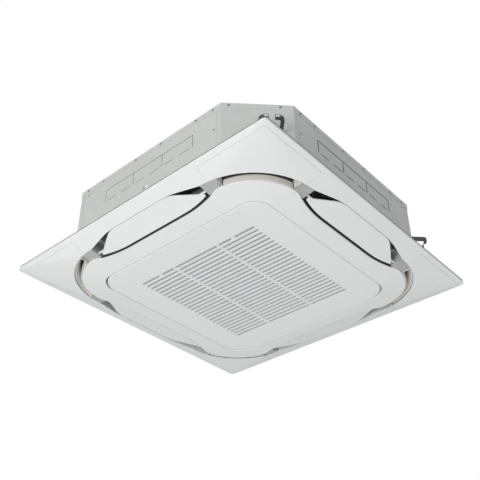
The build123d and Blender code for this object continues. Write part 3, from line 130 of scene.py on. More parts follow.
# Pale strips set back in the seams round each corner cover
COVER_START, COVER_END = 0.240, 0.460
STRIP_START, STRIP_END, STRIP_BACK, STRIP_HEIGHT, STRIP_STEPS = 0.00005, 0.00055, 0.0004, 0.001, 44
PROBE_OUT, PROBE_DEPTH, OPEN_ABOVE = 0.002, -0.2, -0.005

# Pre-cut lines of the knock-outs, three cells on each side of the casing; dark strips in them paint the
# shade of the slits and grooves
CELL_SHIFT, CELL_WIDTH, CELL_MIDDLE, CELL_HALF = -0.008, 0.116, 0.143, 0.021
LINE_HALF, FRONT_LINE_HALF, DASH_HALF = 0.0008, 0.0017, 0.0185
LINE_DEPTH, LINE_RISE = 0.0008, 0.0001

# ---------------------------------------------------------------- materials
# Dust lies in patches on faces whose normal points up by more than DUST_SLOPE
DUST_COLOUR, DUST_SLOPE, DUST_SCALE = (0.42, 0.40, 0.37), 0.55, 14.0
NOISE_LOW, NOISE_HIGH = 0.3, 0.7


class Nodes:
    """Short names for the node calls of one material."""

    def __init__(self, name):
        self.material = bpy.data.materials.new(name)
        self.material.use_nodes = True
        self.tree = self.material.node_tree
        self.tree.nodes.clear()
        self.shader = self.add("ShaderNodeBsdfPrincipled")
        output = self.add("ShaderNodeOutputMaterial")
        self.link(self.shader.outputs["BSDF"], output.inputs["Surface"])
        self.place = self.add("ShaderNodeTexCoord").outputs["Object"]

    def add(self, kind):
        return self.tree.nodes.new(kind)

    def link(self, start, end):
        self.tree.links.new(start, end)

    def stretched(self, scale):
        mapping = self.add("ShaderNodeMapping")
        self.link(self.place, mapping.inputs["Vector"])
        mapping.inputs["Scale"].default_value = scale
        return mapping.outputs["Vector"]

    def noise(self, scale, detail=3.0, place=None):
        node = self.add("ShaderNodeTexNoise")
        self.link(place or self.place, node.inputs["Vector"])
        node.inputs["Scale"].default_value = scale
        node.inputs["Detail"].default_value = detail
        return node.outputs["Fac"]

    def cells(self, scale):
        node = self.add("ShaderNodeTexVoronoi")
        self.link(self.place, node.inputs["Vector"])
        node.inputs["Scale"].default_value = scale
        split = self.add("ShaderNodeSeparateColor")
        self.link(node.outputs["Color"], split.inputs["Color"])
        return split.outputs["Red"]

    def ranged(self, value, low, high, start, end):
        node = self.add("ShaderNodeMapRange")
        self.link(value, node.inputs["Value"])
        node.inputs["From Min"].default_value = low
        node.inputs["From Max"].default_value = high
        node.inputs["To Min"].default_value = start
        node.inputs["To Max"].default_value = end
        return node.outputs["Result"]

    def product(self, first, second):
        node = self.add("ShaderNodeMath")
        node.operation = "MULTIPLY"
        self.link(first, node.inputs[0])
        self.link(second, node.inputs[1])
        return node.outputs["Value"]

    def mixed(self, factor, first, second, blend="MIX"):
        node = self.add("ShaderNodeMix")
        node.data_type = "RGBA"
        node.blend_type = blend
        node.inputs[0].default_value = 1.0
        if factor is not None:
            self.link(factor, node.inputs[0])
        for value, socket in ((first, node.inputs[6]), (second, node.inputs[7])):
            if isinstance(value, tuple):
                socket.default_value = (*value, 1.0)
            else:
                self.link(value, socket)
        return node.outputs[2]

    def grey(self, value):
        node = self.add("ShaderNodeCombineColor")
        for name in ("Red", "Green", "Blue"):
            self.link(value, node.inputs[name])
        return node.outputs["Color"]

    def bump(self, height, strength, distance, normal=None):
        node = self.add("ShaderNodeBump")
        self.link(height, node.inputs["Height"])
        node.inputs["Strength"].default_value = strength
        node.inputs["Distance"].default_value = distance
        if normal is not None:
            self.link(normal, node.inputs["Normal"])
        return node.outputs["Normal"]

    def soft_edge(self, radius):
        node = self.add("ShaderNodeBevel")
        node.samples = 4
        node.inputs["Radius"].default_value = radius
        return node.outputs["Normal"]

    def upward(self):
        geometry = self.add("ShaderNodeNewGeometry")
        split = self.add("ShaderNodeSeparateXYZ")
        self.link(geometry.outputs["Normal"], split.inputs["Vector"])
        return split.outputs["Z"]


def surface(name, colour, rough, metal=0.0, cloud=(5.0, 0.03), grain=(900.0, 0.15, 0.0001),
            spread=0.06, streak=None, spangle=None, dust=0.0, edge=0.0, coat=0.0):
    """A finish with cloudy colour, uneven gloss, fine relief and dust on faces that look up."""
    n = Nodes(name)
    scale, depth = cloud
    shade = n.ranged(n.noise(scale), NOISE_LOW, NOISE_HIGH, 1 - depth, 1 + depth)
    base = n.mixed(None, colour, n.grey(shade), "MULTIPLY")
    if spangle:
        cell_scale, cell_depth = spangle
        cell = n.ranged(n.cells(cell_scale), 0.0, 1.0, 1 - cell_depth, 1 + cell_depth)
        base = n.mixed(None, base, n.grey(cell), "MULTIPLY")
    if dust:
        settled = n.ranged(n.upward(), DUST_SLOPE, 1.0, 0.0, dust)
        patches = n.ranged(n.noise(DUST_SCALE, 6.0), 0.35, NOISE_HIGH, 0.2, 1.0)
        base = n.mixed(n.product(settled, patches), base, DUST_COLOUR)
    n.link(base, n.shader.inputs["Base Color"])
    gloss = n.noise(scale * 7, 5.0, n.stretched(streak) if streak else None)
    gloss = n.ranged(gloss, NOISE_LOW, NOISE_HIGH, rough - spread, rough + spread)
    n.link(gloss, n.shader.inputs["Roughness"])
    n.shader.inputs["Metallic"].default_value = metal
    n.shader.inputs["Coat Weight"].default_value = coat
    grain_scale, strength, distance = grain
    normal = n.soft_edge(edge) if edge else None
    relief = n.noise(grain_scale, 2.0, n.stretched(streak) if streak else None)
    n.link(n.bump(relief, strength, distance, normal), n.shader.inputs["Normal"])
    return n.material


FINISH_VALUES = {
    "panel_white": dict(colour=(0.80, 0.81, 0.82), rough=0.42, cloud=(3.0, 0.012),
                        grain=(1400.0, 0.12, 0.00006), spread=0.05, dust=0.25, edge=0.0007),
    "panel_grey": dict(colour=(0.42, 0.43, 0.44), rough=0.55, cloud=(9.0, 0.03),
                       grain=(1100.0, 0.2, 0.0001), dust=0.3, edge=0.0005),
    "duct_beige": dict(colour=(0.62, 0.60, 0.56), rough=0.6, cloud=(12.0, 0.04),
                       grain=(900.0, 0.25, 0.0001), dust=0.3, edge=0.0005),
    "black_plastic": dict(colour=(0.06, 0.06, 0.065), rough=0.5, cloud=(20.0, 0.08),
                          grain=(1200.0, 0.3, 0.0001), dust=0.2, edge=0.0004),
    "grey_plastic": dict(colour=(0.45, 0.46, 0.47), rough=0.5, cloud=(20.0, 0.04),
                         grain=(1000.0, 0.2, 0.0001), dust=0.2, edge=0.0004),
    # screen_grey: a grey that paints the shade in the depth of the grille's slots
    "screen_grey": dict(colour=(0.42, 0.43, 0.44), rough=0.7, cloud=(30.0, 0.06),
                        grain=(1500.0, 0.4, 0.0002)),
    "filter_mesh": dict(colour=(0.10, 0.10, 0.11), rough=0.7, cloud=(30.0, 0.10),
                        grain=(1500.0, 0.4, 0.0001), dust=0.3),
    "casing_steel": dict(colour=(0.635, 0.648, 0.641), rough=0.40, metal=0.25, cloud=(4.0, 0.03),
                         grain=(500.0, 0.06, 0.00008), spread=0.08, spangle=(160.0, 0.025),
                         dust=0.35, edge=0.0006),
    "zinc_steel": dict(colour=(0.34, 0.35, 0.36), rough=0.32, metal=0.9, cloud=(25.0, 0.08),
                       grain=(300.0, 0.2, 0.0001), spread=0.1, streak=(1.0, 1.0, 9.0),
                       dust=0.15, edge=0.0006),
    # hook_steel: steel whose very dark colour paints the dark reflections on the hooks' sides and shoulders
    "hook_steel": dict(colour=(0.13, 0.135, 0.14), rough=0.30, metal=0.85, cloud=(25.0, 0.08),
                       grain=(300.0, 0.2, 0.0001), spread=0.1, edge=0.0006),
    "foam": dict(colour=(0.82, 0.82, 0.80), rough=0.85, cloud=(18.0, 0.05),
                 grain=(260.0, 0.5, 0.0004), dust=0.2),
    # outlet_cream: partly the wall's pale colour, partly painted light, set paler than the panel's white
    "outlet_cream": dict(colour=(0.91, 0.905, 0.875), rough=0.5, cloud=(12.0, 0.02),
                         grain=(900.0, 0.15, 0.0001)),
    "seal_foam": dict(colour=(0.20, 0.19, 0.165), rough=0.85, cloud=(18.0, 0.08),
                      grain=(260.0, 0.5, 0.0004)),
    "dark_rubber": dict(colour=(0.04, 0.04, 0.045), rough=0.7, cloud=(30.0, 0.12),
                        grain=(700.0, 0.4, 0.0002), dust=0.3),
    "fin_aluminium": dict(colour=(0.72, 0.73, 0.74), rough=0.38, metal=0.8, cloud=(12.0, 0.05),
                          grain=(900.0, 0.2, 0.0001), spread=0.08, streak=(1.0, 1.0, 0.2)),
    "copper": dict(colour=(0.72, 0.38, 0.24), rough=0.32, metal=0.95, cloud=(40.0, 0.14),
                   grain=(500.0, 0.2, 0.0001), spread=0.12),
    "nut_brass": dict(colour=(0.75, 0.58, 0.28), rough=0.3, metal=0.95, cloud=(50.0, 0.1),
                      grain=(700.0, 0.2, 0.0001), spread=0.1, edge=0.0005),
    "fan_plastic": dict(colour=(0.66, 0.68, 0.69), rough=0.42, cloud=(8.0, 0.03),
                        grain=(1000.0, 0.15, 0.00008), dust=0.2),
    "motor_paint": dict(colour=(0.20, 0.21, 0.22), rough=0.45, cloud=(14.0, 0.08),
                        grain=(600.0, 0.35, 0.0002), dust=0.3, edge=0.0006, coat=0.15),
    "board_green": dict(colour=(0.05, 0.22, 0.12), rough=0.35, cloud=(60.0, 0.15),
                        grain=(800.0, 0.3, 0.0002), coat=0.3),
}
FINISHES = {name: surface(name, **values) for name, values in FINISH_VALUES.items()}

slot_of = {row["node"]: row["material_slot"] for row in frame["record"]["subparts"]}
for name, node in nodes.items():
    node.data.materials.clear()
    node.data.materials.append(FINISHES[slot_of[name]])


# ---------------------------------------------------------------- helpers for mesh pieces
def piece(name, points, faces, finish, body, stands_for=(), smooth=False):
    """A mesh object with its finish, carried by one body."""
    data = bpy.data.meshes.new(name)
    data.from_pydata([tuple(p) for p in points], [], faces)
    data.validate()
    shape = bmesh.new()
    shape.from_mesh(data)
    bmesh.ops.recalc_face_normals(shape, faces=shape.faces)
    shape.to_mesh(data)
    shape.free()
    made = bpy.data.objects.new(name, data)
    scene.collection.objects.link(made)
    data.materials.append(FINISHES[finish])
    if smooth:
        data.polygons.foreach_set("use_smooth", [True] * len(data.polygons))
        data.set_sharp_from_angle(angle=math.radians(35))
    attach(made, body)
    if stands_for:
        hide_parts(*stands_for)
    return made


def gather(parts):
    """One list of points and faces from several, each given as (points, faces)."""
    points, faces = [], []
    for more_points, more_faces in parts:
        shift = len(points)
        points += more_points
        faces += [tuple(index + shift for index in face) for face in more_faces]
    return points, faces


def unit(angle):
    """Cosine and sine of an angle in degrees."""
    return math.cos(math.radians(angle)), math.sin(math.radians(angle))


def direction(angle):
    return Vector((*unit(angle), 0))


def side_point(angle, out, along, height):
    """A place given by its distance out and along from the middle of the side at this angle."""
    cosine, sine = unit(angle)
    return Vector((out * cosine - along * sine, out * sine + along * cosine, height))


def on_side(angle):
    """The placing function of a prism that runs outwards through the side at this angle."""
    return lambda along, height, out: side_point(angle, out, along, height)


def turned(points, angle):
    """Points drawn on the +X side or in the corner after it, turned to another side or corner."""
    turn = Matrix.Rotation(math.radians(angle), 3, "Z")
    return [turn @ Vector(point) for point in points]


def arc(middle, radius, start, end, steps):
    """Points of an arc given by its middle, radius and end angles in degrees."""
    units = [unit(start + (end - start) * step / steps) for step in range(steps + 1)]
    return [(middle[0] + radius * x, middle[1] + radius * y) for x, y in units]


def rectangle(middle, half_width, half_height):
    """Corners of a rectangle round its middle."""
    signs = ((-1, -1), (1, -1), (1, 1), (-1, 1))
    return [(middle[0] + a * half_width, middle[1] + b * half_height) for a, b in signs]


def prism_faces(count):
    """Faces between two outlines of so many points each: both ends and the band between them."""
    faces = [tuple(range(count)), tuple(range(2 * count - 1, count - 1, -1))]
    faces += [(k, k + count, (k + 1) % count + count, (k + 1) % count) for k in range(count)]
    return faces


def strip_faces(stations):
    """Faces of a strip with four points at each station, closed at both ends."""
    faces = []
    for step in range(stations - 1):
        for side in range(4):
            a, b = step * 4 + side, step * 4 + (side + 1) % 4
            faces.append((a, b, b + 4, a + 4))
    end = 4 * (stations - 1)
    return faces + [(3, 2, 1, 0), (end, end + 1, end + 2, end + 3)]


def prism(profile, start, end, place):
    """A closed profile swept from start to end; place turns (a, b, run) into a point."""
    points = [place(a, b, run) for run in (start, end) for a, b in profile]
    return points, prism_faces(len(profile))


def wall_strip(path, low, high, thickness):
    """A strip with bevelled edges along a path of (x, y, nx, ny), as thick as given along n."""
    bevel = 0.0005
    section = ((0, low), (thickness, low + bevel), (thickness, high - bevel), (0, high))
    points = [Vector((x + nx * depth, y + ny * depth, level))
              for x, y, nx, ny in path for depth, level in section]
    return points, strip_faces(len(path))


def screw_head(radius, height, at, outward, turn):
    """Domed head on an upright wall, with a flat washer edge and a cross-shaped driver recess.
    Its rings are given as shares of radius and height, and turn is the recess's own angle."""
    segments = 32
    recess_reach, recess_half, recess_level, recess_tip = 0.5, 0.085, 0.35, 0.3
    rings = [(1.0, 0.0), (1.0, 0.16), (0.86, 0.2), (0.84, 0.55), (0.72, 0.82), (0.56, 0.96)]
    rings += [(share, 1.0) for share in (0.48, 0.42, 0.36, 0.30, 0.24, 0.18, 0.12, 0.06)]
    up = Vector((0, 0, 1))
    side = up.cross(outward)
    points = []
    for share, rise in rings:
        for step in range(segments):
            angle = 2 * math.pi * step / segments
            a, b = share * math.cos(angle + turn), share * math.sin(angle + turn)
            off_cross = share * min(abs(math.cos(angle)), abs(math.sin(angle)))
            level = recess_level if share < recess_reach and off_cross < recess_half else rise
            points.append(at + radius * (a * side + b * up) + height * level * outward)
    points.append(at + recess_tip * height * outward)
    last = len(points) - 1
    faces = []
    for ring in range(len(rings) - 1):
        low, high = ring * segments, (ring + 1) * segments
        for step in range(segments):
            after = (step + 1) % segments
            faces.append((low + step, low + after, high + after, high + step))
    top = (len(rings) - 1) * segments
    faces += [(top + step, top + (step + 1) % segments, last) for step in range(segments)]
    faces.append(tuple(range(segments - 1, -1, -1)))
    return points, faces


# ---------------------------------------------------------------- screw heads of the casing
def side_screws(angle):
    """Heads on one side: the row on the skirt, one in the middle and two small ones."""
    sign, out = SIDE_SIGNS[angle], direction(angle)
    for number, along in enumerate(SKIRT_SCREWS):
        at = side_point(angle, CASING_HALF, sign * along, SKIRT_HEIGHT)
        yield screw_head(HEAD_RADIUS, HEAD_RISE, at, out, 0.7 * number + angle)
    yield screw_head(HEAD_RADIUS, HEAD_RISE, side_point(angle, SHELL_HALF, 0, MIDDLE_HEIGHT), out, 0.4)
    for along, height in SMALL_SCREWS:
        at = side_point(angle, SHELL_HALF, sign * along, height)
        yield screw_head(SMALL_RADIUS, SMALL_RISE, at, out, 5 * height)


def corner_screws(angle):
    """Heads on the cut corner that follows a side."""
    for along in CORNER_SCREWS:
        at = side_point(angle + 45, CHAMFER_OUT, along, SKIRT_HEIGHT)
        yield screw_head(HEAD_RADIUS, HEAD_RISE, at, direction(angle + 45), 9 * along + angle)


heads = []
for angle in SIDES:
    heads += [*side_screws(angle), *corner_screws(angle)]
piece("casing_screw_heads", *gather(heads), "zinc_steel", "unit", ["casing_screws"], smooth=True)


# ---------------------------------------------------------------- hangers
def hook_plan(tip, half):
    """Plan of a hook as (out, along): a fork with rounded shoulders, open round the bolt."""
    inner, back = half - PRONG, BOLT_OUT - FORK_BACK
    side = [(0.0, half)] + arc((tip - SHOULDER, half - SHOULDER), SHOULDER, 90, 0, 8)
    side += arc((tip - TIP_ROUND, MOUTH_HALF + TIP_ROUND), TIP_ROUND, 0, -90, 4)
    side += arc((tip - TIP_BAND + TIP_ROUND, MOUTH_HALF + TIP_ROUND), TIP_ROUND, 270, 180, 4)
    side += arc((tip - TIP_BAND - INNER_ROUND, inner - INNER_ROUND), INNER_ROUND, 0, 90, 6)
    side += arc((back + INNER_ROUND, inner - INNER_ROUND), INNER_ROUND, 90, 180, 6)
    return side + [(out, -along) for out, along in reversed(side)]


def flange_plan(tip, half, side):
    """Plan of the flange that stands up round one shoulder of the fork."""
    middle = (tip - SHOULDER, half - SHOULDER)
    outer = [(FLANGE_START, half)] + arc(middle, SHOULDER, 90, 12, 10)
    inner = arc(middle, SHOULDER - FLANGE, 12, 90, 10) + [(FLANGE_START, half - FLANGE)]
    return [(out, side * along) for out, along in outer + inner]


def rounded_top(low, high, bottom, top, radius):
    """Upright outline in (along, height) with its two top corners rounded."""
    return ([(low, bottom), (high, bottom)] + arc((high - radius, top - radius), radius, 0, 90, 5)
            + arc((low + radius, top - radius), radius, 90, 180, 5))


def flat_sheet(outline, low, high, corner):
    """An outline in (out, along) from the casing's cut corner, between two heights."""
    angle, mirror, middle = corner
    return prism(outline, low, high, lambda out, along, height: side_point(
        angle, HOOK_WALL + out, mirror * (middle + along), height))


def upright_sheet(outline, near, far, corner):
    """An outline in (along, height), between two distances from the casing's cut corner."""
    angle, mirror, middle = corner
    return prism(outline, near, far, lambda along, height, out: side_point(
        angle, HOOK_WALL + out, mirror * (middle + along), height))


def hook_parts(tip, half, corner):
    """The fork, its two flanges and the lips on its turned-in tips, and a pale face on each lip that paints
    its highlight.
    """
    parts = [flat_sheet(hook_plan(tip, half), HOOK_HEIGHT, HOOK_TOP, corner)]
    parts += [flat_sheet(flange_plan(tip, half, side), HOOK_TOP, FLANGE_TOP, corner) for side in (-1, 1)]
    lip_highlights = []
    for side in (-1, 1):
        low, high = sorted((side * MOUTH_HALF, side * (half - SHOULDER + LIP_LAP)))
        lip = rounded_top(low, high, HOOK_TOP, LIP_TOP, LIP_ROUND)
        parts.append(upright_sheet(lip, tip - HOOK_SHEET, tip - LIP_BACK, corner))
        highlight = rounded_top(low + HIGHLIGHT_EDGE, high - HIGHLIGHT_EDGE, HOOK_TOP + HIGHLIGHT_LIFT, LIP_TOP - HIGHLIGHT_EDGE,
                            HIGHLIGHT_ROUND)
        lip_highlights.append(upright_sheet(highlight, tip - HIGHLIGHT_START, tip - HIGHLIGHT_END, corner))
    return parts, lip_highlights


def plate_parts(corner):
    """The plate of a hanger on the casing and its two screws."""
    angle, mirror, middle = corner
    outline = rounded_top(-PLATE_HALF, PLATE_HALF, HOOK_TOP, PLATE_TOP, PLATE_ROUND)
    yield upright_sheet(outline, PLATE_START, HOOK_SHEET, corner)
    for along in (-PLATE_SCREW_ALONG, PLATE_SCREW_ALONG):
        at = side_point(angle, HOOK_WALL + HOOK_SHEET, mirror * (middle + along), PLATE_SCREW_HEIGHT)
        yield screw_head(PLATE_HEAD_RADIUS, PLATE_HEAD_RISE, at, direction(angle), 3 * along)


plates_and_highlights = []
for name, angle in CORNERS.items():
    in_front = name.startswith("front")
    tip = BOLT_OUT + (FRONT_TIP if in_front else REAR_TIP)
    middle = BOLT_ALONG + (FRONT_SHIFT if in_front else 0)
    corner = (angle, CORNER_SIGNS[angle], middle)
    hook, lip_highlights = hook_parts(tip, FRONT_HALF if in_front else REAR_HALF, corner)
    # The hooks' very dark finish paints dark reflections on their sides and shoulders
    piece("hanger_hook_" + name, *gather(hook), "hook_steel", "unit", ["hanger_" + name])
    plates_and_highlights += [*lip_highlights, *plate_parts(corner)]
# The pale faces on the lips paint the highlight of the bright floor reflected in the hooks' tips
piece("hanger_plates", *gather(plates_and_highlights), "casing_steel", "unit")

clip = rounded_top(CLIP_START, CLIP_END, CLIP_BOTTOM, CLIP_TOP, CLIP_ROUND)
clips = [prism(clip, SHELL_HALF - CLIP_SINK, SHELL_HALF + CLIP_RISE, on_side(angle)) for angle in SIDES]
piece("side_clips", *gather(clips), "panel_white", "unit")


# ---------------------------------------------------------------- grey sheets painting the grille slots' shade, and filter weave
def slot_shade_sheets(index):
    """Grey sheets in one row of slots, painting their shade; the first row has a break more on either side.
    """
    across = (index - (SLOT_COUNT - 1) / 2) * SLOT_PITCH
    middle = (across, FACE + SLOT_SHADE_BACK + SLOT_SHADE_THICKNESS / 2)
    profile = rectangle(middle, SLOT_SHADE_HALF, SLOT_SHADE_THICKNESS / 2)
    for low, high in FIRST_RUNS if index == 0 else SLOT_RUNS:
        yield prism(profile, low, high, lambda x, z, y: Vector((x, y, z)))


def net_strands(low, high):
    """Strands of the filter's net both ways, one layer just above the other."""
    level = (low.z + high.z) / 2
    count = int((high.x - low.x - 2 * STRAND_HALF) / NET_PITCH)
    for step in range(count + 1):
        along = -count * NET_PITCH / 2 + step * NET_PITCH
        over = rectangle((along, level + STRAND_SHIFT), STRAND_HALF, STRAND_HALF)
        under = rectangle((along, level - STRAND_SHIFT), STRAND_HALF, STRAND_HALF)
        yield prism(over, low.y, high.y, lambda x, z, y: Vector((x, y, z)))
        yield prism(under, low.x, high.x, lambda y, z, x: Vector((x, y, z)))


slot_shades = [sheet for index in range(SLOT_COUNT) for sheet in slot_shade_sheets(index)]
piece("grille_slot_shade", *gather(slot_shades), "screen_grey", "grille")
piece("filter_weave", *gather(net_strands(*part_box("filter_net"))), "filter_mesh", "grille", ["filter_net"])


# ---------------------------------------------------------------- felt painting the outlets' shade, beads, and linings painting their light
def flap_path():
    """The ring's side wall along a flap, straight in its middle and bent outwards at its ends."""
    steps = 24
    path = []
    for step in range(-steps, steps + 1):
        along = FLAP_HALF * step / steps
        lean = math.asin(max(0.0, abs(along) - FLAP_STRAIGHT) / FLAP_BEND)
        out = FLAP_WALL + FLAP_BEND * (1 - math.cos(lean)) + FLAP_GAP / math.cos(lean)
        path.append((out, along, math.cos(lean), -math.sin(lean) if along > 0 else math.sin(lean)))
    return path


def corner_path():
    """The ring's side wall round its corner."""
    steps, radius = 18, RING_RADIUS + RING_GAP
    path = []
    for step in range(-steps, steps + 1):
        nx, ny = unit(45 + RING_SPREAD * step / steps)
        path.append((RING_MIDDLE + radius * nx, RING_MIDDLE + radius * ny, nx, ny))
    return path


def corner_sweep(profile, turn):
    """A closed profile in (radius, height) swept round the frame's corner."""
    steps, points = 15, []
    for step in range(-steps, steps + 1):
        x, y = unit(45 + OUTLET_SPREAD * step / steps)
        for radius, height in profile:
            points.append((OUTLET_MIDDLE + radius * x, OUTLET_MIDDLE + radius * y, height))
    return turned(points, turn), strip_faces(2 * steps + 1)


def crescent(turn):
    """Foam between the outlet seal and the frame, drawn between two arcs."""
    steps, points = 18, []
    section = [(*CRESCENT_INNER, level) for level in (CRESCENT_LOW, CRESCENT_HIGH)]
    section += [(*CRESCENT_OUTER, level) for level in (CRESCENT_HIGH, CRESCENT_LOW)]
    for step in range(-steps, steps + 1):
        x, y = unit(45 + CRESCENT_SPREAD * step / steps)
        points += [(middle + radius * x, middle + radius * y, level) for middle, radius, level in section]
    return turned(points, turn), strip_faces(2 * steps + 1)


shade_felt, beads, linings, seams, crescents = [], [], [], [], []
for turn in SIDES:
    corner_low = NEAR_SHADE_FELT_LOW if turn == NEAR_TURN else CORNER_SHADE_FELT_LOW
    for path, low in ((flap_path(), FLAP_SHADE_FELT_LOW), (corner_path(), corner_low)):
        points, faces = wall_strip(path, low, SHADE_FELT_TOP, SHADE_FELT_THICKNESS)
        shade_felt.append((turned(points, turn), faces))
    for lean in BEAD_LEANS:
        middle = [RING_MIDDLE + BEAD_REACH * share for share in unit(lean)]
        outline = arc(middle, BEAD_RADIUS, 0, 324, 9)
        points, faces = prism(outline, BEAD_LOW, BEAD_HIGH, lambda x, y, z: (x, y, z))
        beads.append((turned(points, turn), faces))
    linings.append(corner_sweep(LINING, turn))
    seams.append(corner_sweep(LINING_SEAM, turn))
    crescents.append(crescent(turn))
# Painted shade: dark felt strips that darken the outlets' walls where shade falls
piece("outlet_shade_felt", *gather(shade_felt), "dark_rubber", "unit")
piece("outlet_edge_beads", *gather(beads), "dark_rubber", "unit", smooth=True)
# Painted light: the outlets' linings are paler than the panel's white, standing in for light bouncing inside
piece("outlet_lining", *gather(linings), "outlet_cream", "unit")
piece("outlet_seams", *gather(seams), "dark_rubber", "unit")
piece("corner_foam", *gather(crescents), "duct_beige", "unit")


# ---------------------------------------------------------------- gasket, rim seal and cover seams
def gasket_path():
    """The seam round the grille on its front, left and right sides; the hinge side has none."""
    steps, middle = 12, SEAM_OUT - SEAM_RADIUS
    right = [(SEAM_OUT, SEAM_REAR, 1.0, 0.0), (SEAM_OUT, -middle, 1.0, 0.0)]
    for step in range(1, steps + 1):
        angle = -math.pi / 2 * step / steps
        nx, ny = math.cos(angle), math.sin(angle)
        right.append((middle + SEAM_RADIUS * nx, -middle + SEAM_RADIUS * ny, nx, ny))
    left = [(-x, y, -nx, ny) for x, y, nx, ny in reversed(right)]
    return [(x - GASKET_HALF * nx, y - GASKET_HALF * ny, nx, ny) for x, y, nx, ny in right + left]


def rim_path():
    """The panel's outer edge all round, with the normal pointing inwards."""
    steps, reach = 8, SEAL_HALF - SEAL_RADIUS
    path = []
    for turn in SIDES:
        for step in range(steps + 1):
            nx, ny = unit(90 * step / steps)
            edge = (reach + SEAL_RADIUS * nx, reach + SEAL_RADIUS * ny, 0)
            (x, y, _), (nx, ny, _) = turned([edge, (nx, ny, 0)], turn)
            path.append((x, y, -nx, -ny))
    return path + path[:1]


def face_height(x, y):
    """Height of the frame's lower face at a place, or None where it is open."""
    found, spot, _, _ = nodes["panel_frame"].ray_cast(Vector((x, y, PROBE_DEPTH)), Vector((0, 0, 1)))
    return spot.z if found and spot.z < OPEN_ABOVE else None


def seam_strip(turn, start, end, outward):
    """A strip that follows the frame's face along a seam drawn in the rear right corner."""
    points, stations = [], 0
    (ox, oy), back, front = outward, STRIP_BACK, STRIP_BACK + STRIP_HEIGHT
    section = ((STRIP_START, back), (STRIP_END, back), (STRIP_END, front), (STRIP_START, front))
    for step in range(STRIP_STEPS + 1):
        share = step / STRIP_STEPS
        x, y = start[0] + share * (end[0] - start[0]), start[1] + share * (end[1] - start[1])
        probe = turned([(x + PROBE_OUT * ox, y + PROBE_OUT * oy, 0)], turn)[0]
        face = face_height(probe.x, probe.y)
        if face is not None:
            points += [(x + depth * ox, y + depth * oy, face + rise) for depth, rise in section]
            stations += 1
    return turned(points, turn), strip_faces(stations)


gasket = wall_strip(gasket_path(), GASKET_LOW, GASKET_HIGH, 2 * GASKET_HALF)
rim_seal = wall_strip(rim_path(), SEAL_LOW, SEAL_HIGH, SEAL_THICKNESS)
piece("seam_gasket", *gasket, "panel_white", "unit")
piece("rim_seal", *rim_seal, "seal_foam", "unit")

strips = []
for turn in SIDES:
    low, high = COVER_START, COVER_END
    strips.append(seam_strip(turn, (high, low), (high, high), (1, 0)))
    strips.append(seam_strip(turn, (low, high), (high, high), (0, 1)))
    strips.append(seam_strip(turn, (low, high), (low, low), (-1, 0)))
    strips.append(seam_strip(turn, (high, low), (low, low), (0, -1)))
piece("cover_seam_strips", *gather(strips), "panel_white", "unit")


# ---------------------------------------------------------------- dark strips painting the shade in the knock-outs' lines
def knockout_lines(angle):
    """Dark strips on one side, painting the shade of the slits and grooves: four upright, a dashed one below
    and a whole one above.
    """
    line = FRONT_LINE_HALF if angle == FRONT else LINE_HALF
    bottom, top = CELL_MIDDLE - CELL_HALF, CELL_MIDDLE + CELL_HALF
    runs = [(step * CELL_WIDTH, CELL_MIDDLE, line, CELL_HALF) for step in (-1.5, -0.5, 0.5, 1.5)]
    runs += [(step * CELL_WIDTH / 4, bottom, DASH_HALF, 0.8 * line) for step in (-5, -3, -1, 1, 3, 5)]
    runs.append((0, top, 1.5 * CELL_WIDTH, 0.9 * line))
    for along, height, half_run, half_rise in runs:
        middle = (SIDE_SIGNS[angle] * (CELL_SHIFT + along), height)
        outline = rectangle(middle, half_run, half_rise)
        yield prism(outline, SHELL_HALF - LINE_DEPTH, SHELL_HALF + LINE_RISE, on_side(angle))


shade_lines = [line for angle in SIDES for line in knockout_lines(angle)]
piece("knockout_shade_lines", *gather(shade_lines), "dark_rubber", "unit")

# ---------------------------------------------------------------- floor
FLOOR_RADIUS, FLOOR_HEIGHT, FLOOR_POINTS = 9, -2.5, 96
floor_mesh = bpy.data.meshes.new("floor")
ring = arc((0, 0), FLOOR_RADIUS, 0, 360 - 360 / FLOOR_POINTS, FLOOR_POINTS - 1)
floor_mesh.from_pydata([(x, y, FLOOR_HEIGHT) for x, y in ring], [], [tuple(range(FLOOR_POINTS))])
floor = bpy.data.objects.new("floor", floor_mesh)
scene.collection.objects.link(floor)
floor_mesh.materials.append(surface("pale_floor", (0.84, 0.84, 0.83), 0.8, cloud=(1.5, 0.01),
                                    grain=(60.0, 0.1, 0.0005)))

# ---------------------------------------------------------------- world and lights
WHITE, SOFT_WHITE, SOFT_STRENGTH = (1, 1, 1, 1), (0.985, 0.988, 0.99, 1), 0.52
WARM, NEUTRAL = (1.0, 0.995, 0.98), (1.0, 1.0, 1.0)

world = bpy.data.worlds.new("studio")
scene.world = world
world.use_nodes = True
tree = world.node_tree
tree.nodes.clear()


def background(colour, strength):
    node = tree.nodes.new("ShaderNodeBackground")
    node.inputs["Color"].default_value = colour
    node.inputs["Strength"].default_value = strength
    return node.outputs["Background"]


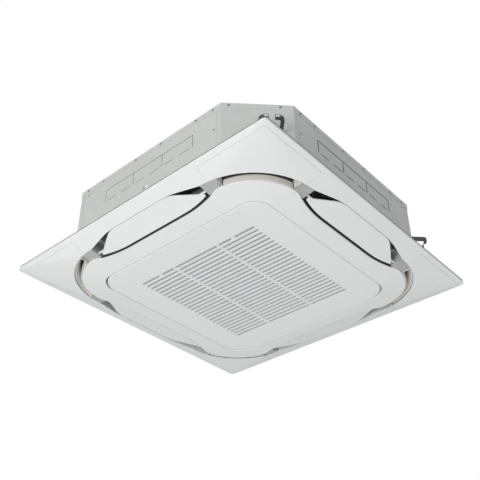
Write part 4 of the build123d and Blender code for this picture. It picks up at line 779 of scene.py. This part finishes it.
# Plain white where the camera sees the world, soft light everywhere else
rays = tree.nodes.new("ShaderNodeLightPath")
seen = tree.nodes.new("ShaderNodeMath")
seen.operation = "MAXIMUM"
tree.links.new(rays.outputs["Is Camera Ray"], seen.inputs[0])
tree.links.new(rays.outputs["Is Transmission Ray"], seen.inputs[1])
blend = tree.nodes.new("ShaderNodeMixShader")
tree.links.new(seen.outputs["Value"], blend.inputs["Fac"])
tree.links.new(background(SOFT_WHITE, SOFT_STRENGTH), blend.inputs[1])
tree.links.new(background(WHITE, 1.0), blend.inputs[2])
world_output = tree.nodes.new("ShaderNodeOutputWorld")
tree.links.new(blend.outputs["Shader"], world_output.inputs["Surface"])


def area_light(name, place, target, size, power, colour):
    data = bpy.data.lights.new(name, "AREA")
    data.shape = "SQUARE"
    data.size = size
    data.energy = power
    data.color = colour
    lamp = bpy.data.objects.new(name, data)
    lamp.location = place
    lamp.rotation_euler = (Vector(target) - Vector(place)).to_track_quat("-Z", "Y").to_euler()
    lamp.visible_camera = False
    scene.collection.objects.link(lamp)


area_light("key", (-3.7, -0.75, -2.1), (0, 0, 0), 2.2, 140, WARM)
area_light("fill", (0.9, 0.4, -2.4), (0.2, 0.1, 0), 2.6, 15, WARM)
area_light("overhead", (0.6, 0.6, 2.9), (0, 0, 0), 3.0, 26, NEUTRAL)

# ---------------------------------------------------------------- camera
# Lens in millimetres and place of the camera, solved from corners that the photograph shows
LENS = 56.963
CAMERA_PLACE = Matrix((
    (0.660014, -0.432890, -0.613993, -1.45595),
    (-0.751234, -0.386251, -0.535218, -1.25034),
    (-0.005465, 0.814504, -0.580133, -1.23639),
    (0.0, 0.0, 0.0, 1.0),
))
camera_data = bpy.data.cameras.new("photo_view")
camera_data.sensor_fit = "HORIZONTAL"
camera_data.sensor_width = 36
camera_data.lens = LENS
camera_data.clip_end = 60
camera = bpy.data.objects.new("photo_view", camera_data)
scene.collection.objects.link(camera)
camera.matrix_world = CAMERA_PLACE
scene.camera = camera
scene.view_settings.view_transform = "Standard"
